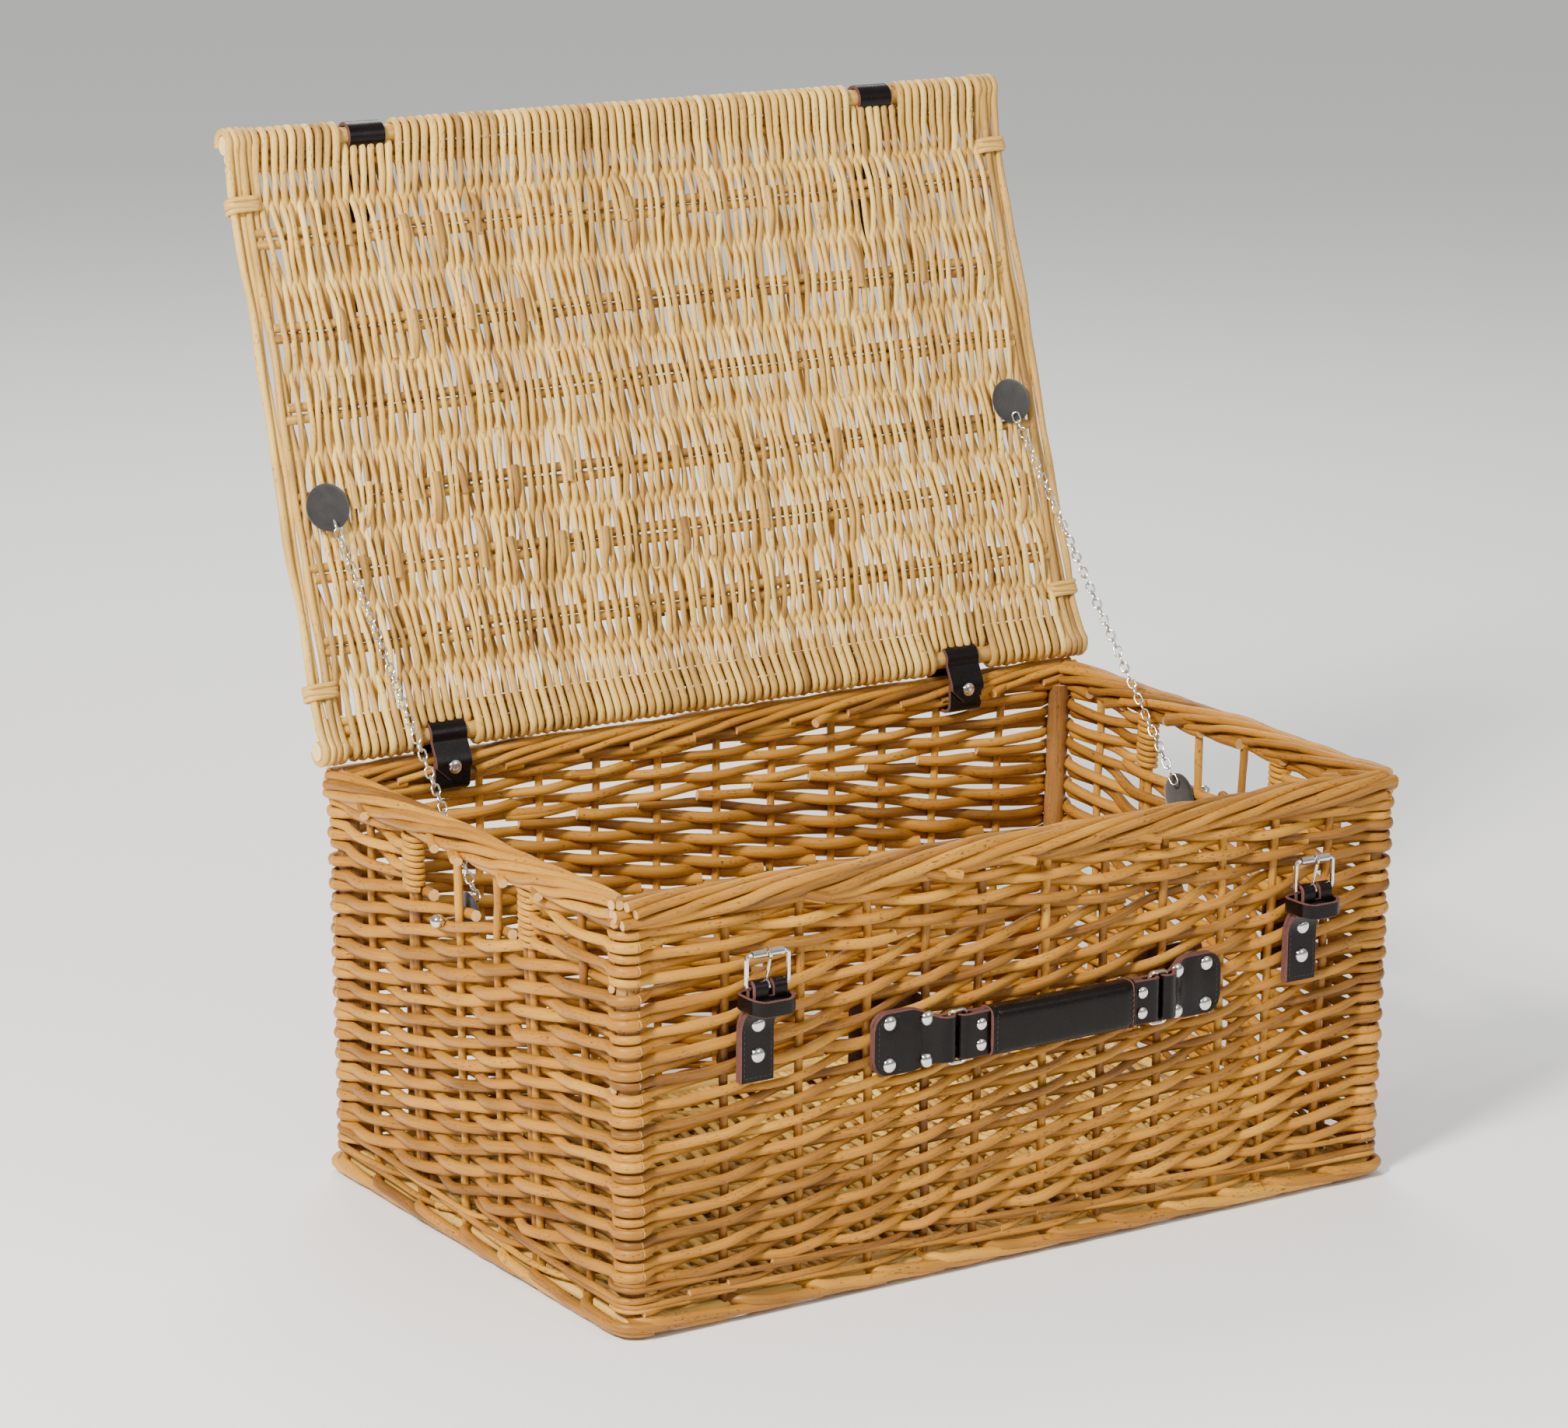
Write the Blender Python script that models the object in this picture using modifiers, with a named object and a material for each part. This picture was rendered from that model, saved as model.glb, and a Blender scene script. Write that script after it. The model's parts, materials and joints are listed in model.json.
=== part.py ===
"""Lidded willow picnic hamper with leather straps, roller buckles, a carrying handle and two stay chains.

Metres, +Z up. The origin is the centre of the base on the ground. The front is -Y and the lid hinges at
the back. The lid is drawn closed, lying on the rim, and its pivot empty swings it open to lean past the
vertical on its chains. The two end walls lean in a little towards the ground.
"""
import math

import bmesh
import bpy
from mathutils import Matrix, Vector

# Body of the hamper
RIM_LENGTH = 0.560
RIM_WIDTH = 0.352
RIM_HEIGHT = 0.257
END_LEAN = 0.020           # share of the length that the base is shorter than the rim
RAIL_WIDTH = 0.020
RAIL_HEIGHT = 0.020
WALL_THICKNESS = 0.015
WALL_INSET = 0.002         # the walls stand this far inside the rim
BASE_THICKNESS = 0.012
FOOT_HEIGHT = 0.013
FOOT_PROUD = 0.003         # the foot border stands proud of the rim's outline at the front and back
UPSETT_TOP = 0.030         # top of the band of fine rods above the foot
GAP = 0.0003               # clearance between touching pieces
POST_RADIUS = 0.007
CORNER_RADIUS = 0.013
STAKE_RADIUS = 0.0025
HAND_HOLE_Y = (-0.060, 0.066)
HAND_HOLE_SILL = 0.208
HOLE_STAKES_Y = {"front": -0.0284, "rear": 0.0167}

# Lid, in its closed frame: X along the hinge stick, -Y towards the front stick, +Z out of the lid
LID_LENGTH = 0.566
LID_DEPTH = 0.3676         # hinge stick to front stick, centre to centre
LID_LEAN = math.radians(17.9)
HINGE_Y = 0.1644
HINGE_Z = 0.268
STICK_RADIUS = 0.006
WRAP_RADIUS = 0.009        # weavers turned round the two outer sticks
PANEL_HALF = 0.006
SIDE_ROD_WIDTH = 0.0174
SIDE_ROD_HALF = 0.004
STRAP_GAP_REACH = 0.0135   # how far the weave stands back from a stick where a strap loops it
BINDING_LENGTH = 0.013
BINDINGS_FROM_STICKS = 0.036

# Leather
LEATHER = 0.0024
THICK_LEATHER = 0.0028
LAP_GAP = 0.0004           # space between two layers that a rivet joins
STRAP_WIDTH = 0.025
STRAP_SLOT = 0.0266
HINGE_STRAP_X = {"left": -0.1966, "right": 0.1831}
CLOSING_STRAP_X = {"left": -0.1870, "right": 0.1860}
CLOSING_STRAP_LENGTH = 0.110
LID_GAP_HALF = {"hinge": 0.020, "front": 0.0182}
RIVET_RADIUS = 0.0045
RIVET_HEIGHT = 0.0024

# Stay chains
DISC_RADIUS = 0.0145
DISC_THICKNESS = 0.0025
LID_DISC_X = 0.2535
LID_DISC_REACH = {"left": 0.1437, "right": 0.1608}
WALL_DISC_Y = 0.024
WALL_DISC_Z = 0.197
CHAIN_RADIUS = 0.003

# Front buckles
BUCKLE_X = {"left": -0.190, "right": 0.197}
BUCKLE_DROP = {"left": 0.0, "right": 0.003}
BUCKLE_STRAP_WIDTH = 0.022
BUCKLE_BAR_Y = -0.1892
BUCKLE_BAR_Z = 0.2000
BUCKLE_WIDTH = 0.0276      # centre to centre of the wire
BUCKLE_HEIGHT = 0.0190
BUCKLE_WIRE = 0.0013
ROLLER_RADIUS = 0.0024
ROLLER_BORE = 0.0016
PRONG_WIRE = 0.0009
KEEPER_HEIGHT = 0.011

# Carrying handle on the front wall
HANDLE_X = 0.0123
HANDLE_Z = 0.148
HANDLE_BAR_Y = -0.1870
PAD_LENGTH = 0.0450
PAD_HEIGHT = 0.037
PAD_OUTER = 0.1235         # handle centre to the outer edge of a pad
PAD_RIVETS_X = (0.0860, 0.1115)
PAD_RIVETS_Z = 0.0125
RING_WIRE = 0.0014
RING_PAD_BAR = 0.0778      # handle centre to the ring's bar at the pad, and to its bar at the grip
RING_GRIP_BAR = 0.0655
RING_HEIGHT = 0.031
EYE_HEIGHT = 0.0266
GRIP_LENGTH = 0.100
GRIP_HEIGHT = 0.0290
GRIP_THICKNESS = 0.0150
GRIP_RIVET_X = 0.0570
GRIP_TRAVEL = 0.006        # how far the grip pulls out from the wall

SIDES = {"left": -1, "right": 1}
ENDS = {"front": -1, "back": 1}
AXES = {"YZ": Matrix(((0, 0, 1), (1, 0, 0), (0, 1, 0))), "XY": Matrix.Identity(3),
        "XZ": Matrix(((1, 0, 0), (0, 0, -1), (0, 1, 0)))}

WALL_X = RIM_LENGTH / 2 - WALL_INSET
WALL_Y = RIM_WIDTH / 2 - WALL_INSET
WALL_BOTTOM = UPSETT_TOP + GAP
WALL_TOP = RIM_HEIGHT - RAIL_HEIGHT - GAP
POST_X = WALL_X - CORNER_RADIUS
POST_Y = WALL_Y - CORNER_RADIUS


def clear_scene():
    for obj in list(bpy.data.objects):
        bpy.data.objects.remove(obj)


def make_collection(name):
    collection = bpy.data.collections.new(name)
    bpy.context.scene.collection.children.link(collection)
    return collection


def material(name, colour, roughness, metallic=0.0):
    mat = bpy.data.materials.new(name)
    mat.use_nodes = True
    shader = mat.node_tree.nodes["Principled BSDF"]
    shader.inputs["Base Color"].default_value = (*colour, 1.0)
    shader.inputs["Roughness"].default_value = roughness
    shader.inputs["Metallic"].default_value = metallic
    return mat


clear_scene()
HAMPER = make_collection("picnic_hamper")
CUTTERS = make_collection("cutters")
GOLDEN_WILLOW = material("golden_willow", (0.60, 0.36, 0.14), 0.45)
PALE_WILLOW = material("pale_willow", (0.72, 0.50, 0.26), 0.45)
BROWN_WILLOW = material("brown_willow", (0.42, 0.24, 0.11), 0.5)
DARK_LEATHER = material("dark_leather", (0.030, 0.020, 0.017), 0.4)
SUEDE = material("suede", (0.020, 0.016, 0.014), 0.9)
STEEL = material("plated_steel", (0.80, 0.80, 0.78), 0.15, 1.0)


# ---------------------------------------------------------------- modelling helpers
def place(name, bm, parent=None, mat=None):
    """Make an object of a bmesh, round where its faces meet softly, and link it as a part of the hamper."""
    bmesh.ops.recalc_face_normals(bm, faces=bm.faces)
    mesh = bpy.data.meshes.new(name)
    bm.to_mesh(mesh)
    bm.free()
    mesh.shade_smooth()
    mesh.set_sharp_from_angle(angle=math.radians(35))
    obj = bpy.data.objects.new(name, mesh)
    obj.parent = parent
    HAMPER.objects.link(obj)
    if mat:
        mesh.materials.append(mat)
    return obj


def box(name, low, high, **kind):
    bm = bmesh.new()
    bmesh.ops.create_cube(bm, size=1)
    low, high = Vector(low), Vector(high)
    bmesh.ops.scale(bm, verts=bm.verts, vec=high - low)
    bmesh.ops.translate(bm, verts=bm.verts, vec=(low + high) / 2)
    return place(name, bm, **kind)


def rod(name, start, end, radius, sides=16, **kind):
    start, end = Vector(start), Vector(end)
    turn = (end - start).to_track_quat("Z", "Y").to_matrix().to_4x4()
    bm = bmesh.new()
    bmesh.ops.create_cone(bm, cap_ends=True, segments=sides, radius1=radius, radius2=radius,
                          depth=(end - start).length,
                          matrix=Matrix.Translation((start + end) / 2) @ turn)
    return place(name, bm, **kind)


def tube(name, points, radius, closed=False, **kind):
    """A round wire along straight runs, made as a bevelled curve and turned into a mesh."""
    data = bpy.data.curves.new(name + "_path", "CURVE")
    data.dimensions = "3D"
    data.bevel_depth = radius
    data.bevel_resolution = 2
    data.use_fill_caps = not closed
    spline = data.splines.new("POLY")
    spline.points.add(len(points) - 1)
    for point, where in zip(spline.points, points):
        point.co = (*where, 1)
    spline.use_cyclic_u = closed
    return curve_to_part(name, data, **kind)


def outline(name, loops, thickness, plane, centre=(0, 0, 0), **kind):
    """A flat outline, with any holes, given thickness square to its plane about a centre."""
    data = bpy.data.curves.new(name + "_outline", "CURVE")
    data.dimensions = "2D"
    data.fill_mode = "BOTH"
    data.extrude = thickness / 2
    for loop in loops:
        spline = data.splines.new("POLY")
        spline.points.add(len(loop) - 1)
        for point, (u, v) in zip(spline.points, loop):
            point.co = (u, v, 0, 1)
        spline.use_cyclic_u = True
    turn = Matrix.Translation(centre) @ AXES[plane].to_4x4()
    return curve_to_part(name, data, turn=turn, **kind)


def curve_to_part(name, data, turn=Matrix.Identity(4), **kind):
    curve = bpy.data.objects.new(name + "_curve", data)
    HAMPER.objects.link(curve)
    bpy.context.view_layer.update()
    evaluated = curve.evaluated_get(bpy.context.evaluated_depsgraph_get())
    mesh = bpy.data.meshes.new_from_object(evaluated)
    bm = bmesh.new()
    bm.from_mesh(mesh)
    bmesh.ops.remove_doubles(bm, verts=bm.verts, dist=1e-6)
    bmesh.ops.transform(bm, matrix=turn, verts=bm.verts)
    bpy.data.objects.remove(curve)
    bpy.data.meshes.remove(mesh)
    return place(name, bm, **kind)


def band(name, path, width, thickness, plane, centre=(0, 0, 0), closed=False, **kind):
    """A strip that follows a path in a plane, as wide as given across it, thickened by Solidify."""
    turn = AXES[plane]
    across = turn @ Vector((0, 0, width))
    bm = bmesh.new()
    verts = [bm.verts.new(turn @ Vector((u, v, -width / 2)) + Vector(centre)) for u, v in path]
    pairs = list(zip(verts, verts[1:])) + ([(verts[-1], verts[0])] if closed else [])
    edges = [bm.edges.new(pair) for pair in pairs]
    made = bmesh.ops.extrude_edge_only(bm, edges=edges)["geom"]
    bmesh.ops.translate(bm, vec=across, verts=[v for v in made if isinstance(v, bmesh.types.BMVert)])
    obj = place(name, bm, **kind)
    shell = obj.modifiers.new("thickness", "SOLIDIFY")
    shell.thickness = thickness
    shell.offset = 0
    shell.use_even_offset = True
    return obj


def dome(name, centre, radius, height, axis, **kind):
    """A rivet head: a ball flattened along the X, Y or Z axis."""
    scale = {"X": (height, radius, radius), "Y": (radius, height, radius)}[axis]
    bm = bmesh.new()
    bmesh.ops.create_uvsphere(bm, u_segments=12, v_segments=8, radius=1)
    bmesh.ops.scale(bm, verts=bm.verts, vec=scale)
    bmesh.ops.translate(bm, verts=bm.verts, vec=centre)
    return place(name, bm, **kind)


def boolean(obj, operation, tools):
    """Join the tools to a part or cut it with them, and put them away as cutters."""
    for tool in tools:
        step = obj.modifiers.new(operation.lower(), "BOOLEAN")
        step.operation = operation
        step.solver = "EXACT"
        step.object = tool
        if tool.name not in CUTTERS.objects:
            HAMPER.objects.unlink(tool)
            CUTTERS.objects.link(tool)
            tool.hide_render = True
            tool.display_type = "WIRE"
    return obj


def round_edges(obj, width, segments):
    bevel = obj.modifiers.new("round_edges", "BEVEL")
    bevel.width = width
    bevel.segments = segments
    return obj


def lean_ends(obj):
    """Draw a wicker piece in towards the middle near the ground, as the two end walls lean."""
    for vert in obj.data.vertices:
        vert.co.x *= 1 - END_LEAN * (1 - vert.co.z / RIM_HEIGHT)
    return obj


def pivot(name, where, turn=Matrix.Identity(4)):
    empty = bpy.data.objects.new(name, None)
    empty.matrix_world = Matrix.Translation(where) @ turn
    HAMPER.objects.link(empty)
    return empty


def arc(centre, radius, start, stop, steps):
    """Points on a circle from one angle to another, in degrees."""
    angles = [math.radians(start + (stop - start) * i / steps) for i in range(steps + 1)]
    return [(centre[0] + radius * math.cos(a), centre[1] + radius * math.sin(a)) for a in angles]


def rounded_rectangle(half_u, half_v, radius, steps=4, centre=(0, 0)):
    loop = []
    for turn, (su, sv) in enumerate(((1, 1), (-1, 1), (-1, -1), (1, -1))):
        middle = (centre[0] + su * (half_u - radius), centre[1] + sv * (half_v - radius))
        loop += arc(middle, radius, 90 * turn, 90 * turn + 90, steps)
    return loop


# ---------------------------------------------------------------- body
def post_cutters():
    return [lean_ends(rod(f"post_bore_{side}_{end}", (sx * POST_X, sy * POST_Y, FOOT_HEIGHT),
                          (sx * POST_X, sy * POST_Y, RIM_HEIGHT), POST_RADIUS + GAP))
            for side, sx in SIDES.items() for end, sy in ENDS.items()]


def make_base_and_foot(bores):
    inner_x, inner_y = WALL_X - 0.0150, WALL_Y - 0.0090
    foot_x, foot_y = RIM_LENGTH / 2 + 0.0015, RIM_WIDTH / 2 + FOOT_PROUD
    lean_ends(box("base_panel", (-inner_x + GAP, -inner_y + GAP, 0),
                  (inner_x - GAP, inner_y - GAP, BASE_THICKNESS), mat=PALE_WILLOW))
    loops = [rounded_rectangle(foot_x, foot_y, 0.018), rounded_rectangle(inner_x, inner_y, 0.0005, 1)]
    lean_ends(outline("foot_border", loops, FOOT_HEIGHT, "XY", (0, 0, FOOT_HEIGHT / 2),
                      mat=GOLDEN_WILLOW))
    low = FOOT_HEIGHT + GAP
    loops = [rounded_rectangle(WALL_X + 0.001, WALL_Y + 0.0025, 0.015),
             rounded_rectangle(WALL_X - WALL_THICKNESS, WALL_Y - WALL_THICKNESS, 0.0005, 1)]
    band_of_rods = outline("upsett_band", loops, UPSETT_TOP - low, "XY", (0, 0, (UPSETT_TOP + low) / 2),
                           mat=GOLDEN_WILLOW)
    boolean(lean_ends(band_of_rods), "DIFFERENCE", bores)


def make_long_wall(end, sign, bores):
    """A front or back wall, whose rounded ends carry the weave round the corner posts."""
    inner = WALL_Y - WALL_THICKNESS
    right = arc((POST_X, -POST_Y), CORNER_RADIUS, 270, 360, 4)
    left = [(-x, y) for x, y in reversed(right)]
    loop = [(-WALL_X, -inner), *left, *right, (WALL_X, -inner)]
    loop = [(x, -sign * y) for x, y in loop]
    wall = outline(f"{end}_wall", [loop], WALL_TOP - WALL_BOTTOM, "XY",
                   (0, 0, (WALL_TOP + WALL_BOTTOM) / 2), mat=GOLDEN_WILLOW)
    boolean(lean_ends(wall), "DIFFERENCE", bores)
    return wall


def make_end_wall(side, sign, bores):
    """An end wall with its hand hole, and the two stakes that cross the hole."""
    reach = WALL_Y - WALL_THICKNESS - GAP
    xs = sorted((sign * (WALL_X - WALL_THICKNESS), sign * WALL_X))
    wall = lean_ends(box(f"{side}_wall", (xs[0], -reach, WALL_BOTTOM), (xs[1], reach, WALL_TOP),
                         mat=GOLDEN_WILLOW))
    hole = box(f"hand_hole_{side}", (xs[0] - 0.01, HAND_HOLE_Y[0], HAND_HOLE_SILL),
               (xs[1] + 0.01, HAND_HOLE_Y[1], RIM_HEIGHT))
    stud_bore = rod(f"stud_bore_{side}", (sign * 0.24, WALL_DISC_Y, WALL_DISC_Z),
                    (sign * 0.30, WALL_DISC_Y, WALL_DISC_Z), 0.0018, 8)
    boolean(wall, "DIFFERENCE", [*bores, hole, stud_bore])
    middle = sign * (WALL_X - WALL_THICKNESS / 2)
    for place_name, y in HOLE_STAKES_Y.items():
        lean_ends(rod(f"hand_hole_stake_{side}_{place_name}", (middle, y, HAND_HOLE_SILL + GAP),
                      (middle, y, WALL_TOP), STAKE_RADIUS, 12, mat=GOLDEN_WILLOW))


def make_rails():
    low, high = RIM_HEIGHT - RAIL_HEIGHT, RIM_HEIGHT
    half_x, half_y = RIM_LENGTH / 2, RIM_WIDTH / 2
    for end, sign in ENDS.items():
        ys = sorted((sign * (half_y - RAIL_WIDTH), sign * half_y))
        rail = box(f"rim_rail_{end}", (-half_x, ys[0], low), (half_x, ys[1], high), mat=GOLDEN_WILLOW)
        round_edges(lean_ends(rail), 0.006, 3)
    reach = half_y - RAIL_WIDTH - GAP
    for side, sign in SIDES.items():
        xs = sorted((sign * (half_x - RAIL_WIDTH), sign * half_x))
        rail = box(f"rim_rail_{side}", (xs[0], -reach, low), (xs[1], reach, high), mat=GOLDEN_WILLOW)
        round_edges(lean_ends(rail), 0.006, 3)


def make_body():
    bores = post_cutters()
    make_base_and_foot(bores)
    make_long_wall("front", -1, bores)
    back = make_long_wall("back", 1, bores)
    slots = [box(f"hinge_strap_slot_{side}", (x - STRAP_SLOT / 2, WALL_Y - 0.03, WALL_TOP - 0.0040),
                 (x + STRAP_SLOT / 2, WALL_Y + 0.01, RIM_HEIGHT)) for side, x in HINGE_STRAP_X.items()]
    boolean(back, "DIFFERENCE", slots)
    for side, sx in SIDES.items():
        make_end_wall(side, sx, bores)
        for end, sy in ENDS.items():
            lean_ends(rod(f"corner_post_{end}_{side}", (sx * POST_X, sy * POST_Y, FOOT_HEIGHT + GAP),
                          (sx * POST_X, sy * POST_Y, WALL_TOP), POST_RADIUS, mat=BROWN_WILLOW))
    make_rails()


# ---------------------------------------------------------------- lid
def make_lid_panel(lid):
    """The woven sheet and its turns round the two outer sticks, with gaps for the straps and bindings."""
    half_x = LID_LENGTH / 2 - SIDE_ROD_WIDTH - GAP
    wrap_x = LID_LENGTH / 2 - 0.004
    sticks_y = {"hinge": 0.0, "front": -LID_DEPTH}
    panel = box("lid_panel", (-half_x, -LID_DEPTH + STICK_RADIUS, -PANEL_HALF),
                (half_x, -STICK_RADIUS, PANEL_HALF), parent=lid, mat=PALE_WILLOW)
    wraps = [rod(f"lid_wrap_{n}", (-wrap_x, y, 0), (wrap_x, y, 0), WRAP_RADIUS, 20, parent=lid)
             for n, y in sticks_y.items()]
    bores = [rod(f"lid_bore_{n}", (-0.3, y, 0), (0.3, y, 0), STICK_RADIUS + GAP, 20, parent=lid)
             for n, y in sticks_y.items()]
    gaps = []
    for stick, inward, centres in (("hinge", -1, HINGE_STRAP_X), ("front", 1, CLOSING_STRAP_X)):
        half = LID_GAP_HALF[stick]
        ys = sorted((sticks_y[stick] - inward * 0.02, sticks_y[stick] + inward * STRAP_GAP_REACH))
        gaps += [box(f"lid_gap_{stick}_{side}", (x - half, ys[0], -0.02), (x + half, ys[1], 0.02),
                     parent=lid) for side, x in centres.items()]
    slots = [box(f"binding_slot_{side}_{n}", (min(sx * half_x, sx * (half_x - 0.0038)), y - 0.0075, -0.02),
                 (max(sx * (half_x + 0.001), sx * (half_x - 0.0038)), y + 0.0075, 0.02), parent=lid)
             for side, sx in SIDES.items() for n, y in binding_places().items()]
    boolean(panel, "UNION", wraps)
    boolean(panel, "DIFFERENCE", [*bores, *gaps, *slots])


def binding_places():
    return {"hinge": -BINDINGS_FROM_STICKS, "front": -LID_DEPTH + BINDINGS_FROM_STICKS}


def make_lid_edges(lid):
    half = LID_LENGTH / 2
    for stick, y in (("hinge", 0.0), ("front", -LID_DEPTH)):
        rod(f"lid_{stick}_stick", (-half, y, 0), (half, y, 0), STICK_RADIUS, parent=lid, mat=PALE_WILLOW)
    ends = WRAP_RADIUS + 0.0008
    for side, sign in SIDES.items():
        xs = sorted((sign * (half - SIDE_ROD_WIDTH), sign * half))
        rods = box(f"lid_side_rods_{side}", (xs[0], -LID_DEPTH + ends, -SIDE_ROD_HALF),
                   (xs[1], -ends, SIDE_ROD_HALF), parent=lid, mat=PALE_WILLOW)
        round_edges(rods, 0.003, 2)
        middle = sign * (half - SIDE_ROD_WIDTH / 2)
        for end, y in binding_places().items():
            cane = SIDE_ROD_WIDTH / 2 + 0.0018
            loop = rounded_rectangle(cane, SIDE_ROD_HALF + 0.0018, 0.003, 3)
            band(f"lid_binding_{end}_{side}", loop, BINDING_LENGTH, 0.0024, "XZ", (middle, y, 0),
                 closed=True, parent=lid, mat=PALE_WILLOW)


def make_lid():
    lid = pivot("lid_pivot", (0, HINGE_Y, HINGE_Z), Matrix.Rotation(-math.pi / 2 - LID_LEAN, 4, "X"))
    make_lid_panel(lid)
    make_lid_edges(lid)
    return lid


# ---------------------------------------------------------------- straps
def make_hinge_strap(side, x):
    """A strap round the lid's hinge stick and the back rail, its two ends lapped and riveted inside."""
    turn = STICK_RADIUS + GAP + LEATHER / 2 + 0.0002
    rail_in, rail_out = RIM_WIDTH / 2 - RAIL_WIDTH, RIM_WIDTH / 2
    tongue_y, under_y = rail_in - 0.0052, rail_in - 0.0052 + LEATHER + LAP_GAP
    outer_y = rail_out + LEATHER / 2 + 0.0010
    under_z = WALL_TOP - 0.0017
    path = [(tongue_y, HINGE_Z - 0.0244), (tongue_y, HINGE_Z - 0.0135)]
    path += arc((HINGE_Y, HINGE_Z), turn, 205, -10, 12)
    path += [(outer_y, RIM_HEIGHT), (outer_y, under_z + 0.0040), (outer_y - 0.0014, under_z + 0.0010),
             (outer_y - 0.0040, under_z), (under_y + 0.0040, under_z), (under_y + 0.0010, under_z + 0.0012),
             (under_y, under_z + 0.0045), (under_y, HINGE_Z - 0.0125)]
    strap = band(f"hinge_strap_{side}", path, STRAP_WIDTH, LEATHER, "YZ", (x, 0, 0), mat=DARK_LEATHER)
    rivet_z = HINGE_Z - 0.0185
    head_y = tongue_y - LEATHER / 2
    shank = rod(f"hinge_rivet_shank_{side}", (x, head_y + 0.0005, rivet_z),
                (x, under_y + LEATHER / 2 - 0.0005, rivet_z), 0.0016, 8)
    head = dome(f"hinge_rivet_head_{side}", (x, head_y, rivet_z), RIVET_RADIUS, 0.0018, "Y")
    boolean(strap, "UNION", [shank, head])


def make_closing_strap(side, x):
    """A strap looped and riveted round the lid's front stick, its long tail hanging behind the open lid."""
    turn = STICK_RADIUS + GAP + LEATHER / 2 + 0.0002
    stick_y = HINGE_Y + LID_DEPTH * math.sin(LID_LEAN)
    stick_z = HINGE_Z + LID_DEPTH * math.cos(LID_LEAN)
    swing = pivot(f"closing_strap_pivot_{side}", (x, stick_y, stick_z))
    lap_y = turn - LEATHER - LAP_GAP
    path = [(turn, -CLOSING_STRAP_LENGTH), *arc((0, 0), turn, 0, 205, 12), (-0.0030, -0.0086),
            (0.0032, -0.0105), (lap_y + 0.0001, -0.0165), (lap_y, -0.0360)]
    strap = band(f"closing_strap_{side}", path, STRAP_WIDTH, LEATHER, "YZ", parent=swing,
                 mat=DARK_LEATHER)
    rivet_z = -0.0270
    shank = rod(f"closing_rivet_shank_{side}", (0, turn + LEATHER / 2 - 0.0005, rivet_z),
                (0, lap_y - LEATHER / 2 + 0.0005, rivet_z), 0.0016, 8, parent=swing)
    heads = [dome(f"closing_rivet_head_{side}_{n}", (0, y, rivet_z), 0.0040, 0.0012, "Y", parent=swing)
             for n, y in (("outer", turn + LEATHER / 2), ("inner", lap_y - LEATHER / 2))]
    boolean(strap, "UNION", [shank, *heads])


def make_buckle(side, x):
    """A folded strap riveted to the front wall, with its keeper and a roller buckle in the fold."""
    z0 = BUCKLE_BAR_Z - BUCKLE_DROP[side]
    hinge = pivot(f"buckle_pivot_{side}", (x, BUCKLE_BAR_Y, z0))
    fold = BUCKLE_WIRE + GAP + THICK_LEATHER / 2 + 0.0001
    back_y = -WALL_Y - GAP - THICK_LEATHER / 2 - BUCKLE_BAR_Y
    front_y = back_y - THICK_LEATHER - LAP_GAP
    foot_z = -0.0585
    front = [(front_y, foot_z), (front_y, -0.0260), (front_y - 0.0030, -0.0190), (-fold - 0.0002, -0.0085)]
    back = [(fold + 0.0002, -0.0075), (back_y - 0.0035, -0.0180), (back_y, -0.0250), (back_y, foot_z)]
    strap = band(f"buckle_strap_{side}", front + arc((0, 0), fold, 180, 0, 8) + back, BUCKLE_STRAP_WIDTH,
                 THICK_LEATHER, "YZ", parent=hinge, mat=DARK_LEATHER)
    face_y = front_y - THICK_LEATHER / 2
    rivets = []
    for n, z in enumerate((-0.0250, -0.0430)):
        rivets.append(rod(f"buckle_rivet_shank_{side}_{n}", (0, face_y + 0.0008, z),
                          (0, back_y + 0.0008, z), 0.0018, 8, parent=hinge))
        rivets.append(dome(f"buckle_rivet_head_{side}_{n}", (0, face_y, z), RIVET_RADIUS, RIVET_HEIGHT,
                           "Y", parent=hinge))
    boolean(strap, "UNION", rivets)
    slit = box(f"prong_slit_{side}", (-0.0020, -0.0060, -0.0044), (0.0020, 0.0060, 0.0070), parent=hinge)
    boolean(strap, "DIFFERENCE", [slit])

    loop = rounded_rectangle(BUCKLE_STRAP_WIDTH / 2 + 0.0024, 0.0114, 0.0030, 3, centre=(0, 0.0006))
    band(f"buckle_keeper_{side}", loop, KEEPER_HEIGHT, LEATHER, "XY", (0, 0, -0.0092), closed=True,
         parent=hinge, mat=DARK_LEATHER)

    middle = BUCKLE_HEIGHT / 2
    wire = [(u, 0, v) for u, v in rounded_rectangle(BUCKLE_WIDTH / 2, middle, 0.0025, 3, centre=(0, middle))]
    tube(f"buckle_frame_{side}", wire, BUCKLE_WIRE, closed=True, parent=hinge, mat=STEEL)
    bm = bmesh.new()
    bmesh.ops.create_cone(bm, cap_ends=False, segments=14, radius1=ROLLER_RADIUS, radius2=ROLLER_RADIUS,
                          depth=0.0205, matrix=Matrix.Translation((0, 0, BUCKLE_HEIGHT))
                          @ Matrix.Rotation(math.pi / 2, 4, "Y"))
    roller = place(f"buckle_roller_{side}", bm, parent=hinge, mat=STEEL)
    shell = roller.modifiers.new("thickness", "SOLIDIFY")
    shell.thickness = ROLLER_RADIUS - ROLLER_BORE
    shell.offset = -1

    eye = BUCKLE_WIRE + PRONG_WIRE + 0.0002
    over = ROLLER_RADIUS + PRONG_WIRE + GAP
    turns = arc((0, 0), eye, -60, -290, 10) + arc((0, BUCKLE_HEIGHT), over, 225, 105, 5)
    tube(f"buckle_prong_{side}", [(0, u, v) for u, v in turns], PRONG_WIRE, parent=hinge, mat=STEEL)


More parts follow.
